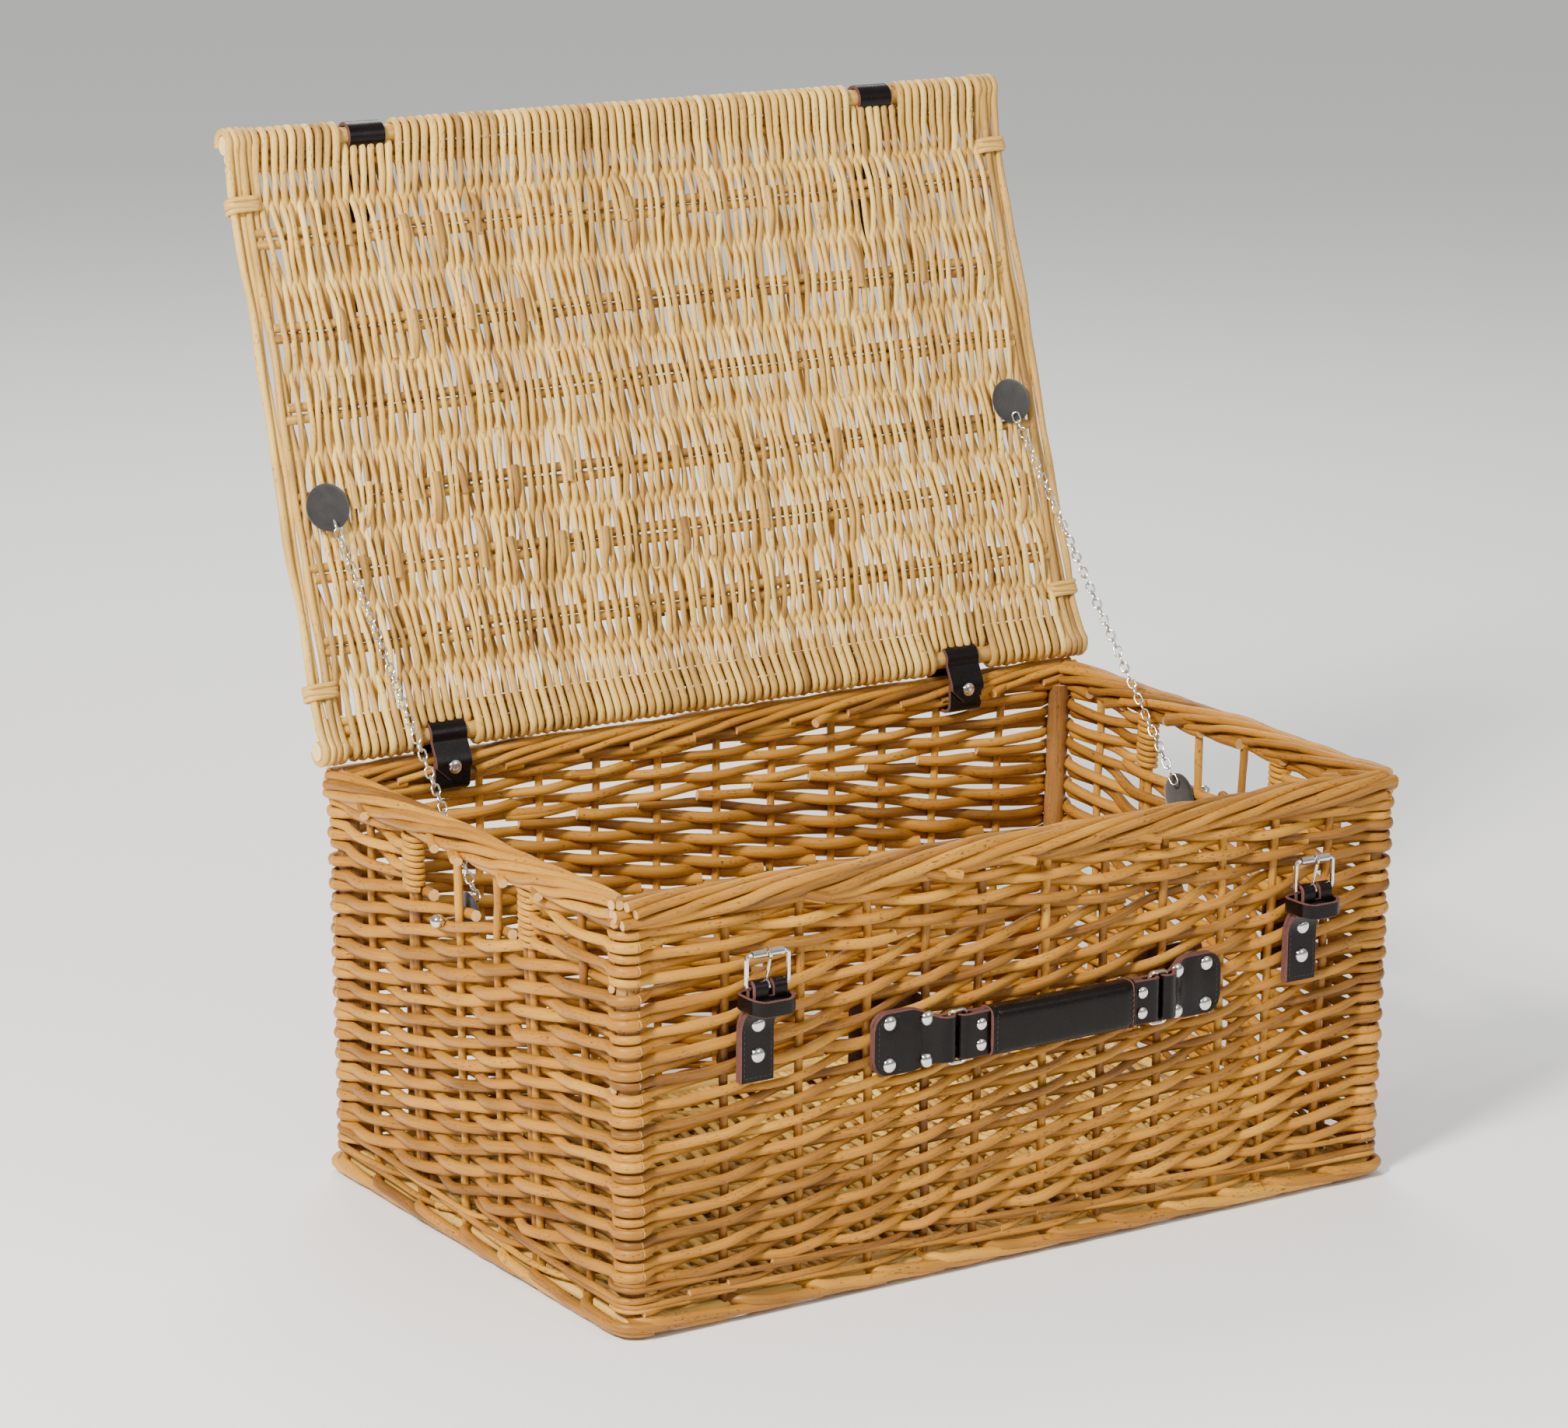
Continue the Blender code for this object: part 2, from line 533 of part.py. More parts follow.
# ---------------------------------------------------------------- handle
def make_pad(side, sign):
    """A riveted pad whose narrow end folds round the outer bar of its ring."""
    thickness = 2 * THICK_LEATHER
    plate_y = -WALL_Y - GAP - thickness / 2
    centre = sign * (PAD_OUTER - PAD_LENGTH / 2) + HANDLE_X
    loop = rounded_rectangle(PAD_LENGTH / 2, PAD_HEIGHT / 2, 0.008, 4)
    pad = outline(f"handle_pad_{side}", [loop], thickness, "XZ", (centre, plate_y, HANDLE_Z),
                  mat=DARK_LEATHER)
    fold = RING_WIRE + 0.0003 + THICK_LEATHER / 2
    bar = RING_PAD_BAR
    path = [(bar + 0.0110, plate_y - 0.0012), (bar + 0.0070, plate_y - 0.0016),
            *arc((bar, HANDLE_BAR_Y), fold, -40, -270, 8), (bar + 0.0060, plate_y + 0.0012),
            (bar + 0.0100, plate_y + 0.0010)]
    path = [(HANDLE_X + sign * u, v) for u, v in path]
    eye = band(f"handle_eye_{side}", path, EYE_HEIGHT, THICK_LEATHER, "XY", (0, 0, HANDLE_Z))
    heads = [dome(f"pad_rivet_{side}_{n}_{m}", (HANDLE_X + sign * x, plate_y - thickness / 2, HANDLE_Z + dz),
                  RIVET_RADIUS, RIVET_HEIGHT, "Y")
             for n, x in enumerate(PAD_RIVETS_X) for m, dz in enumerate((-PAD_RIVETS_Z, PAD_RIVETS_Z))]
    boolean(pad, "UNION", [eye, *heads])


def make_ring(side, sign):
    hinge = pivot(f"ring_pivot_{side}", (HANDLE_X + sign * RING_PAD_BAR, HANDLE_BAR_Y, HANDLE_Z))
    half = (RING_PAD_BAR - RING_GRIP_BAR) / 2
    loop = rounded_rectangle(half, RING_HEIGHT / 2, 0.003, 3, centre=(-sign * half, 0))
    tube(f"handle_ring_{side}", [(u, 0, v) for u, v in loop], RING_WIRE, closed=True, parent=hinge,
         mat=STEEL)


def make_grip():
    """The padded grip, whose flat end straps fold round the inner bars with room for the rings to swing."""
    slide = pivot("grip_pivot", (HANDLE_X, HANDLE_BAR_Y, HANDLE_Z))
    half = Vector((GRIP_LENGTH / 2, GRIP_THICKNESS / 2, GRIP_HEIGHT / 2))
    grip = round_edges(box("handle_grip", -half, half, parent=slide, mat=DARK_LEATHER), 0.0045, 3)
    fold = RING_WIRE + 0.0004 + THICK_LEATHER / 2
    ring = RING_PAD_BAR - RING_GRIP_BAR
    reach = RING_GRIP_BAR + ring - math.sqrt(ring ** 2 - GRIP_TRAVEL ** 2)
    for side, sign in SIDES.items():
        path = [(GRIP_LENGTH / 2 - 0.0030, -fold * 0.6), *arc((reach, 0), fold, -90, 90, 6),
                (RING_GRIP_BAR, fold), (GRIP_LENGTH / 2 - 0.0030, fold * 0.6)]
        path.insert(1, (RING_GRIP_BAR, -fold))
        eye = band(f"grip_eye_{side}", [(sign * u, v) for u, v in path], EYE_HEIGHT, THICK_LEATHER, "XY",
                   parent=slide)
        core = box(f"grip_core_{side}", (min(sign * 0.045, sign * 0.0605), -0.0026, -0.0120),
                   (max(sign * 0.045, sign * 0.0605), 0.0026, 0.0120), parent=slide)
        heads = [dome(f"grip_rivet_{side}_{n}", (sign * GRIP_RIVET_X, -0.0041, z), 0.0037, 0.0020, "Y",
                      parent=slide) for n, z in enumerate((-0.0058, 0.0058))]
        boolean(grip, "UNION", [eye, core, *heads])


def make_backings():
    """Leather pieces inside the front wall that the rivets pass through."""
    inner = -WALL_Y + WALL_THICKNESS + GAP
    for side, sign in SIDES.items():
        z = BUCKLE_BAR_Z - BUCKLE_DROP[side] - 0.034
        loop = rounded_rectangle(0.0125, 0.0215, 0.004, 3)
        outline(f"buckle_backing_{side}", [loop], LEATHER, "XZ", (BUCKLE_X[side], inner + LEATHER / 2, z),
                mat=DARK_LEATHER)
        x = HANDLE_X + sign * (PAD_OUTER - PAD_LENGTH / 2)
        loop = rounded_rectangle(0.0250, 0.0200, 0.006, 3)
        outline(f"handle_backing_{side}", [loop], LEATHER, "XZ", (x, inner + LEATHER / 2, HANDLE_Z),
                mat=DARK_LEATHER)


# ---------------------------------------------------------------- stay chains
def make_stay(side, sign, lid):
    """A leather disc on the lid and one inside the end wall, the wall disc's stud, and the chain."""
    reach = LID_DISC_REACH[side]
    face = -PANEL_HALF - GAP
    rod(f"lid_disc_{side}", (sign * LID_DISC_X, -reach, face),
        (sign * LID_DISC_X, -reach, face - DISC_THICKNESS), DISC_RADIUS, 24, parent=lid, mat=SUEDE)
    lean = 1 - END_LEAN * (1 - WALL_DISC_Z / RIM_HEIGHT)
    wall_in, wall_out = (WALL_X - WALL_THICKNESS) * lean - 0.0008, WALL_X * lean
    rod(f"wall_disc_{side}", (sign * wall_in, WALL_DISC_Y, WALL_DISC_Z),
        (sign * (wall_in - DISC_THICKNESS), WALL_DISC_Y, WALL_DISC_Z), DISC_RADIUS, 24, mat=SUEDE)
    stud = dome(f"chain_stud_{side}", (sign * (wall_out + 0.0036), WALL_DISC_Y, WALL_DISC_Z), 0.0043,
                0.0034, "X", mat=STEEL)
    shank = rod(f"stud_shank_{side}", (sign * (wall_in + GAP), WALL_DISC_Y, WALL_DISC_Z),
                (sign * (wall_out + 0.0030), WALL_DISC_Y, WALL_DISC_Z), 0.0014, 8)
    boolean(stud, "UNION", [shank])
    upper = Vector((sign * (LID_DISC_X - 0.0010), -reach + DISC_RADIUS - 0.002,
                    face - DISC_THICKNESS - CHAIN_RADIUS - 0.0006))
    upper = lid.matrix_world @ upper
    lower = Vector((sign * (wall_in - DISC_THICKNESS - CHAIN_RADIUS - 0.0012), WALL_DISC_Y,
                    WALL_DISC_Z + DISC_RADIUS - 0.002))
    tube(f"stay_chain_{side}", [tuple(upper), tuple(lower)], CHAIN_RADIUS, mat=STEEL)


make_body()
LID = make_lid()
for SIDE, SIGN in SIDES.items():
    make_hinge_strap(SIDE, HINGE_STRAP_X[SIDE])
    make_closing_strap(SIDE, CLOSING_STRAP_X[SIDE])
    make_buckle(SIDE, BUCKLE_X[SIDE])
    make_pad(SIDE, SIGN)
    make_ring(SIDE, SIGN)
    make_stay(SIDE, SIGN, LID)
make_grip()
make_backings()
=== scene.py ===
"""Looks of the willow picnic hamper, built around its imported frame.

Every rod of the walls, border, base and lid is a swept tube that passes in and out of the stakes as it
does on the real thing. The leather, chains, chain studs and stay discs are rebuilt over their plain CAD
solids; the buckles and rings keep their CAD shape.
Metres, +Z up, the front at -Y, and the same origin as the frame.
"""
import json
import math

import bmesh
import bpy
import numpy as np
from mathutils import Matrix, Vector


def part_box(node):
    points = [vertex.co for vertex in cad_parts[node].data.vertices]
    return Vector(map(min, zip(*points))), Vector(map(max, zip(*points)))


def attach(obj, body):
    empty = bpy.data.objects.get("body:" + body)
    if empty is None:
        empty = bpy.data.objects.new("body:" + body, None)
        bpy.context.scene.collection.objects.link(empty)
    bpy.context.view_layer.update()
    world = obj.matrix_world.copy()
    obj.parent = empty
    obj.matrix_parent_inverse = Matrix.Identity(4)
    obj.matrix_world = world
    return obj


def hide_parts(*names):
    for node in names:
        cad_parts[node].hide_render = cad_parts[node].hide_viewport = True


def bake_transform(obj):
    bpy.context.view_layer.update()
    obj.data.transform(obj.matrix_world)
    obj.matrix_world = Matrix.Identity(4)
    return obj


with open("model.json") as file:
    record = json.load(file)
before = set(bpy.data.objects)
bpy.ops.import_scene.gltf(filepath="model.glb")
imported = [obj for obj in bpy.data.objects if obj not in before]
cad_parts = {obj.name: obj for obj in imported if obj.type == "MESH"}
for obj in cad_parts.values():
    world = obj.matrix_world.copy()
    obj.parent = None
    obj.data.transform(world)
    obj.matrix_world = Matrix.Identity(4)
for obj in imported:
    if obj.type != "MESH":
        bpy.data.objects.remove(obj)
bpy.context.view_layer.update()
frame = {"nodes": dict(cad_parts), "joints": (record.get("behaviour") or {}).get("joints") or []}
JOINTS = {joint["name"]: joint for joint in frame["joints"]}
RANDOM = np.random.default_rng(11)
SIDES = {"left": -1, "right": 1}
X, Y, Z = np.eye(3)


def low(node):
    return np.array(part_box(node)[0])


def high(node):
    return np.array(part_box(node)[1])


def middle(node):
    return (low(node) + high(node)) / 2


# ---------------------------------------------------------------- sizes from the frame
RIM_TOP = high("rim_rail_front")[2]
RIM_BOTTOM = low("rim_rail_front")[2]
RIM_HALF_X, RIM_HALF_Y = high("rim_rail_right")[0], high("rim_rail_back")[1]
POST = np.array([high("corner_post_back_right")[0] - 0.007, middle("corner_post_back_right")[1]])
POST_RADIUS = 0.007
END_LEAN = 0.020           # the end walls draw in by this share of the length at the ground
WALL_MID = 0.0055          # from a post's centre line out to the middle of the wall's thickness
STAKE_RADIUS = 0.0026
WEAVE_OUT = 0.0049         # how far a weaver stands off the wall's middle where it passes a stake
POST_OUT = 0.0047          # and where it turns round a corner post
HOLE = {"low": -0.060, "high": 0.066}
HOLE_STAKES = (middle("hand_hole_stake_left_front")[1], middle("hand_hole_stake_left_rear")[1])
HOLE_SILL = low("hand_hole_stake_left_front")[2]
UPSETT_TOP = high("upsett_band")[2]

FRONT_STAKES = (-0.204, -0.154, -0.109, -0.068, -0.029, 0.017, 0.059, 0.103, 0.146, 0.185, 0.226)
BACK_STAKES = (0.221, 0.170, 0.128, 0.088, 0.044, 0.001, -0.043, -0.087, -0.128, -0.171, -0.221)
END_STAKES = (-0.122, HOLE["low"] - 0.0045, *HOLE_STAKES, HOLE["high"] + 0.0045, 0.122)

HINGE = np.array(JOINTS["lid_hinge"]["pos_m"])
FRONT_STICK = middle("lid_front_stick")
LID_DEPTH = float(np.linalg.norm((FRONT_STICK - HINGE)[1:]))
LID_UP = np.array([0, *(FRONT_STICK - HINGE)[1:]]) / LID_DEPTH
LID_OUT = np.cross(LID_UP, X)          # square to the lid, towards its outer face
if LID_OUT[1] < 0:
    LID_OUT = -LID_OUT
LID_HALF_X = high("lid_front_stick")[0]


# ---------------------------------------------------------------- materials
class Nodes:
    """A short way to write a material's node tree."""

    def __init__(self, name):
        self.material = bpy.data.materials.new(name)
        self.material.use_nodes = True
        self.tree = self.material.node_tree
        self.shader = self.tree.nodes["Principled BSDF"]

    def add(self, kind, inputs=None, **settings):
        node = self.tree.nodes.new("ShaderNode" + kind)
        for key, value in settings.items():
            setattr(node, key, value)
        for key, value in (inputs or {}).items():
            self.put(node.inputs[key], value)
        return node

    def put(self, socket, value):
        if isinstance(value, bpy.types.NodeSocket):
            self.tree.links.new(value, socket)
        else:
            socket.default_value = value

    def scaled(self, vector, scale):
        return self.add("Mapping", {"Vector": vector, "Scale": scale}).outputs["Vector"]

    def noise(self, vector, scale, detail=3.0, rough=0.55):
        inputs = {"Vector": vector, "Scale": scale, "Detail": detail, "Roughness": rough}
        return self.add("TexNoise", inputs).outputs["Fac"]

    def ramp(self, factor, *stops):
        node = self.add("ValToRGB", {"Fac": factor})
        ramp = node.color_ramp
        while len(ramp.elements) < len(stops):
            ramp.elements.new(0.5)
        for element, (place, colour) in zip(ramp.elements, stops):
            element.position = place
            element.color = (*colour, 1) if len(colour) == 3 else colour
        return node.outputs["Color"]

    def span(self, value, low_in, high_in, low_out=0.0, high_out=1.0):
        inputs = {"Value": value, "From Min": low_in, "From Max": high_in, "To Min": low_out,
                  "To Max": high_out}
        return self.add("MapRange", inputs).outputs["Result"]

    def mix(self, factor, a, b, blend="MIX"):
        node = self.add("Mix", data_type="RGBA", blend_type=blend)
        self.put(node.inputs[0], factor)
        self.put(node.inputs[6], a if not isinstance(a, tuple) else (*a, 1))
        self.put(node.inputs[7], b if not isinstance(b, tuple) else (*b, 1))
        return node.outputs[2]

    def bump(self, height, distance, strength=1.0):
        inputs = {"Height": height, "Distance": distance, "Strength": strength}
        self.put(self.shader.inputs["Normal"], self.add("Bump", inputs).outputs["Normal"])

    def set(self, **values):
        for key, value in values.items():
            name = key.replace("_", " ").title().replace("Ior", "IOR")
            self.put(self.shader.inputs[name], value)


def willow(name, dark, mid, light, speck, roughness=0.42):
    """Peeled willow: a tone for each rod, long streaks, flecks and buds, and pale end grain at a cut."""
    n = Nodes(name)
    rod = n.add("UVMap", uv_map="rod").outputs["UV"]
    tone = n.add("Attribute", attribute_name="tone").outputs["Fac"]
    cut = n.add("Attribute", attribute_name="cut").outputs["Fac"]
    offset = n.add("CombineXYZ", {"X": n.span(tone, 0, 1, 0, 37.0), "Y": n.span(tone, 0, 1, 0, 13.0)})
    place = n.add("VectorMath", {0: rod, 1: offset.outputs["Vector"]}, operation="ADD").outputs["Vector"]
    broad = n.noise(n.scaled(place, (14, 14, 1)), 1.0, 2.0)
    streak = n.noise(n.scaled(place, (34, 620, 1)), 1.0, 4.0, 0.6)
    fine = n.noise(n.scaled(place, (260, 1900, 1)), 1.0, 3.0, 0.6)
    blend = n.add("Math", {0: n.span(tone, 0, 1, 0.10, 0.74), 1: n.span(broad, 0.3, 0.7, -0.16, 0.16)},
                  operation="ADD").outputs["Value"]
    blend = n.add("Math", {0: blend, 1: n.span(streak, 0.3, 0.7, -0.13, 0.13)},
                  operation="ADD").outputs["Value"]
    colour = n.ramp(blend, (0.0, dark), (0.45, mid), (1.0, light))
    flecks = n.noise(n.scaled(place, (300, 1000, 1)), 1.0, 2.0, 0.5)
    patches = n.noise(n.scaled(place, (38, 150, 1)), 1.0, 2.0, 0.5)
    fleck = n.add("Math", {0: n.span(flecks, 0.56, 0.66), 1: n.span(patches, 0.46, 0.60)},
                  operation="MULTIPLY").outputs["Value"]
    colour = n.mix(n.span(fleck, 0, 1, 0, 0.85), colour, speck)
    buds = n.add("TexVoronoi", {"Vector": n.scaled(place, (17, 60, 1)), "Scale": 1.0})
    bud = n.span(buds.outputs["Distance"], 0.055, 0.02)
    colour = n.mix(n.span(bud, 0, 1, 0, 0.8), colour, speck)
    grain = n.mix(n.span(fine, 0.35, 0.75, 0.0, 0.5), tuple(0.82 * c + 0.12 for c in light), mid)
    colour = n.mix(cut, colour, grain)
    n.put(n.shader.inputs["Base Color"], colour)
    n.put(n.shader.inputs["Roughness"], n.span(streak, 0.3, 0.7, roughness - 0.07, roughness + 0.12))
    height = n.add("Math", {0: streak, 1: n.span(fine, 0, 1, 0, 0.35)}, operation="ADD").outputs["Value"]
    height = n.add("Math", {0: height, 1: n.span(bud, 0, 1, 0, 1.2)}, operation="ADD").outputs["Value"]
    n.bump(height, 0.00022, 0.75)
    n.set(specular_ior_level=0.24, coat_weight=0.04, coat_roughness=0.25)
    return n.material


def leather(name, colour, lift, roughness, grain=1500.0, depth=0.00008):
    """Finished leather: fine pebbled grain, faint creases and a slight change of tone."""
    n = Nodes(name)
    place = n.add("TexCoord").outputs["Object"]
    pebble = n.add("TexVoronoi", {"Vector": place, "Scale": grain}, feature="SMOOTH_F1")
    crease = n.noise(place, 190, 5.0, 0.65)
    broad = n.noise(place, 38, 3.0)
    n.put(n.shader.inputs["Base Color"], n.mix(n.span(broad, 0.35, 0.7), colour, lift))
    n.put(n.shader.inputs["Roughness"], n.span(crease, 0.3, 0.7, roughness - 0.07, roughness + 0.10))
    height = n.add("Math", {0: pebble.outputs["Distance"], 1: n.span(crease, 0, 1, 0, 1.6)},
                   operation="ADD").outputs["Value"]
    n.bump(height, depth, 0.8)
    n.set(specular_ior_level=0.17, coat_weight=0.03, coat_roughness=0.15)
    return n.material


def leather_edge():
    """The raw cut edge: reddish fibres in fine layers."""
    n = Nodes("leather_edge")
    place = n.add("TexCoord").outputs["Object"]
    fibre = n.noise(place, 900, 4.0, 0.7)
    broad = n.noise(place, 120, 2.0)
    colour = n.ramp(fibre, (0.3, (0.060, 0.020, 0.016)), (0.7, (0.155, 0.055, 0.042)))
    colour = n.mix(n.span(broad, 0.4, 0.8, 0, 0.5), colour, (0.05, 0.018, 0.015))
    n.put(n.shader.inputs["Base Color"], colour)
    n.bump(fibre, 0.00025, 0.8)
    n.set(roughness=0.85)
    return n.material


def suede():
    n = Nodes("black_suede")
    place = n.add("TexCoord").outputs["Object"]
    nap = n.noise(place, 1300, 4.0, 0.7)
    broad = n.noise(place, 140, 3.0)
    colour = n.ramp(broad, (0.3, (0.008, 0.007, 0.007)), (0.75, (0.026, 0.023, 0.022)))
    n.put(n.shader.inputs["Base Color"], colour)
    n.bump(nap, 0.0004, 0.9)
    n.set(roughness=0.95, sheen_weight=0.5, sheen_roughness=0.5)
    return n.material


def plated(name="bright_nickel", roughness=0.13):
    """Bright nickel plate with faint polishing marks and small dull patches."""
    n = Nodes(name)
    place = n.add("TexCoord").outputs["Object"]
    mark = n.noise(n.scaled(place, (300, 1400, 300)), 1.0, 3.0)
    patch = n.noise(place, 260, 3.0)
    colour = n.mix(n.span(patch, 0.35, 0.7), (0.80, 0.79, 0.76), (0.66, 0.645, 0.61))
    n.put(n.shader.inputs["Base Color"], colour)
    n.put(n.shader.inputs["Roughness"], n.span(patch, 0.3, 0.75, roughness - 0.05, roughness + 0.12))
    n.bump(mark, 0.00002, 0.4)
    n.set(metallic=1.0)
    return n.material


def thread():
    n = Nodes("dark_thread")
    place = n.add("TexCoord").outputs["Object"]
    twist = n.noise(place, 2600, 2.0)
    n.put(n.shader.inputs["Base Color"], n.mix(twist, (0.010, 0.007, 0.006), (0.035, 0.022, 0.018)))
    n.bump(twist, 0.0001, 0.6)
    n.set(roughness=0.7)
    return n.material


GOLDEN = willow("golden_willow", (0.165, 0.066, 0.011), (0.430, 0.188, 0.022), (0.660, 0.345, 0.045),
                (0.085, 0.030, 0.009))
PALE = willow("pale_willow", (0.270, 0.135, 0.034), (0.700, 0.430, 0.100), (0.950, 0.720, 0.240),
              (0.230, 0.090, 0.020), 0.45)
BROWN = willow("brown_willow", (0.150, 0.060, 0.014), (0.360, 0.170, 0.042), (0.560, 0.310, 0.100),
               (0.070, 0.028, 0.010), 0.5)
HIDE = leather("dark_hide", (0.0030, 0.0018, 0.0015), (0.0072, 0.0042, 0.0034), 0.27)
EDGE = leather_edge()
SUEDE = suede()
NICKEL = plated(roughness=0.09)
THREAD = thread()


# ---------------------------------------------------------------- meshes
def place(name, mesh, body, materials, slot, replaces=()):
    """Link a finished mesh as a piece of the hamper that moves with a body."""
    for material in materials:
        mesh.materials.append(material)
    obj = bpy.data.objects.new(name, mesh)
    bpy.context.scene.collection.objects.link(obj)
    if body:
        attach(obj, body)
    if replaces:
        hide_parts(*replaces)
    return obj


def unit(vectors):
    return vectors / np.linalg.norm(vectors, axis=-1, keepdims=True)


def wave(s, length, seed):
    """A gentle irregular wave of about +-1 along s, a sum of three sines."""
    phase = np.random.default_rng(seed).uniform(0, 2 * math.pi, 3)
    parts = [np.sin(2 * math.pi * s / (length / k) + p) / k for k, p in zip((1, 1.7, 2.9), phase)]
    return sum(parts) / 1.5


class Rods:
    """Round rods gathered into one mesh.

    The UV map "rod" holds the distance along a rod and round it in metres. Each rod has its own tone,
    and its cut ends are marked, for the willow material.
    """

    def __init__(self, sides=8):
        self.sides = sides
        self.points, self.corners, self.sizes, self.uvs, self.tones, self.cuts = [], [], [], [], [], []
        self.count = 0

    def add(self, line, radius, across, tone=None, squash=1.0, closed=False, start=0.0):
        """Sweep a rod along a line. across is square to it, and squash thins the rod the other way."""
        line = np.asarray(line, float)
        n, k = len(line), self.sides
        if closed:
            along = unit(np.roll(line, -1, 0) - np.roll(line, 1, 0))
        else:
            along = unit(np.gradient(line, axis=0))
        up = np.broadcast_to(across, (n, 3))
        up = unit(up - (up * along).sum(1)[:, None] * along)
        out = np.cross(along, up)
        turn = 2 * math.pi * np.arange(k) / k
        wide = np.broadcast_to(radius, n)[:, None, None]
        thin = (np.broadcast_to(radius, n) * np.broadcast_to(squash, n))[:, None, None]
        ring = line[:, None] + wide * np.cos(turn)[:, None] * up[:, None]
        ring = ring + thin * np.sin(turn)[:, None] * out[:, None]
        i, j = np.meshgrid(np.arange(n if closed else n - 1), np.arange(k), indexing="ij")
        after, following = (i + 1) % n, (j + 1) % k
        quads = np.stack([i * k + j, i * k + following, after * k + following, after * k + j], -1)
        step = np.linalg.norm(np.diff(line, axis=0, append=line[:1]), axis=1)
        reach = start + np.concatenate([[0], np.cumsum(step)])
        girth = 2 * math.pi * float(np.mean(wide)) / k
        uv = np.stack([np.stack([reach[i], j * girth], -1), np.stack([reach[i], (j + 1) * girth], -1),
                       np.stack([reach[i + 1], (j + 1) * girth], -1),
                       np.stack([reach[i + 1], j * girth], -1)], -2)
        corners, uvs = [quads.reshape(-1)], [uv.reshape(-1, 2)]
        sizes, cuts = [np.full(i.size, 4)], [np.zeros(i.size)]
        if not closed:
            caps = [np.arange(k)[::-1], (n - 1) * k + np.arange(k)]
            flat = np.stack([np.cos(turn), np.sin(turn)], -1) * 0.002
            corners += caps
            uvs += [flat[::-1], flat]
            sizes.append(np.full(2, k))
            cuts.append(np.ones(2))
        self.points.append(ring.reshape(-1, 3))
        self.corners.append(np.concatenate(corners) + self.count)
        self.uvs.append(np.concatenate(uvs))
        self.sizes.append(np.concatenate(sizes))
        self.cuts.append(np.concatenate(cuts))
        self.tones.append(np.full(n * k, RANDOM.uniform() if tone is None else tone))
        self.count += n * k

    def mesh(self, name):
        points, corners = np.concatenate(self.points), np.concatenate(self.corners)
        sizes = np.concatenate(self.sizes)
        mesh = bpy.data.meshes.new(name)
        mesh.vertices.add(len(points))
        mesh.vertices.foreach_set("co", points.astype(np.float32).ravel())
        mesh.loops.add(len(corners))
        mesh.loops.foreach_set("vertex_index", corners.astype(np.int32))
        mesh.polygons.add(len(sizes))
        starts = np.concatenate([[0], np.cumsum(sizes)[:-1]])
        mesh.polygons.foreach_set("loop_start", starts.astype(np.int32))
        mesh.update(calc_edges=True)
        mesh.shade_smooth()
        mesh.set_sharp_from_angle(angle=math.radians(62))
        mesh.uv_layers.new(name="rod").data.foreach_set("uv", np.concatenate(self.uvs).ravel())
        tone = mesh.attributes.new("tone", "FLOAT", "POINT")
        tone.data.foreach_set("value", np.concatenate(self.tones).astype(np.float32))
        cut = mesh.attributes.new("cut", "FLOAT", "FACE")
        cut.data.foreach_set("value", np.concatenate(self.cuts).astype(np.float32))
        return mesh

    def make(self, name, body, material, slot="golden_willow", replaces=()):
        return place(name, self.mesh(name), body, [material], slot, replaces)


# ---------------------------------------------------------------- the line round the four walls
class Round:
    """The line midway through the walls, followed left to right as seen from outside."""

    def __init__(self):
        px, py, r = POST[0], POST[1], WALL_MID
        quarter = r * math.pi / 2
        self.runs, start = [], 0.0
        sides = ((("front"), (-px, -py - r), (1, 0), 2 * px), ("right", (px + r, -py), (0, 1), 2 * py),
                 ("back", (px, py + r), (-1, 0), 2 * px), ("left", (-px - r, py), (0, -1), 2 * py))
        for name, origin, heading, length in sides:
            self.runs.append((name, start, length, np.array(origin), np.array(heading)))
            start += length + quarter
        self.quarter, self.total = quarter, start

    def start(self, name):
        return next(run[1] for run in self.runs if run[0] == name)

    def at(self, s):
        """Places on the line and the outward directions there, as (x, y) rows."""
        s = np.mod(np.asarray(s, float), self.total)
        spot, out = np.zeros((len(s), 2)), np.zeros((len(s), 2))
        for _, start, length, origin, heading in self.runs:
            normal = np.array([heading[1], -heading[0]])
            straight = (s >= start) & (s <= start + length)
            spot[straight] = origin + (s[straight] - start)[:, None] * heading
            out[straight] = normal
            bend = (s > start + length) & (s < start + length + self.quarter)
            turn = (s[bend] - start - length) / self.quarter * math.pi / 2
            arm = np.cos(turn)[:, None] * normal + np.sin(turn)[:, None] * heading
            centre = origin + length * heading - WALL_MID * normal
            spot[bend], out[bend] = centre + WALL_MID * arm, arm
        return spot, out

    def line(self, s, out, z):
        """Points at distance s round the walls, out from their middle and z high, leaning with the ends."""
        s, out, z = np.broadcast_arrays(np.asarray(s, float), out, z)
        spot, normal = self.at(s)
        xy = spot + out[:, None] * normal
        lean = 1 - END_LEAN * (1 - z / RIM_TOP)
        return np.stack([xy[:, 0] * lean, xy[:, 1], z], -1)

    def posts(self):
        """Where the middles of the four corner turns are."""
        return np.array([run[1] + run[2] + self.quarter / 2 for run in self.runs])


ROUND = Round()


def stake_places():
    """Each stake's distance round the walls, in order, and the wall that it stands in."""
    px, py = POST
    walls = {"front": [x + px for x in FRONT_STAKES], "right": [y + py for y in END_STAKES],
             "back": [px - x for x in BACK_STAKES], "left": [py - y for y in reversed(END_STAKES)]}
    places, names = [], []
    for wall, inside in walls.items():
        places += [ROUND.start(wall) + s for s in inside]
        names += [wall] * len(inside)
    return np.array(places), names


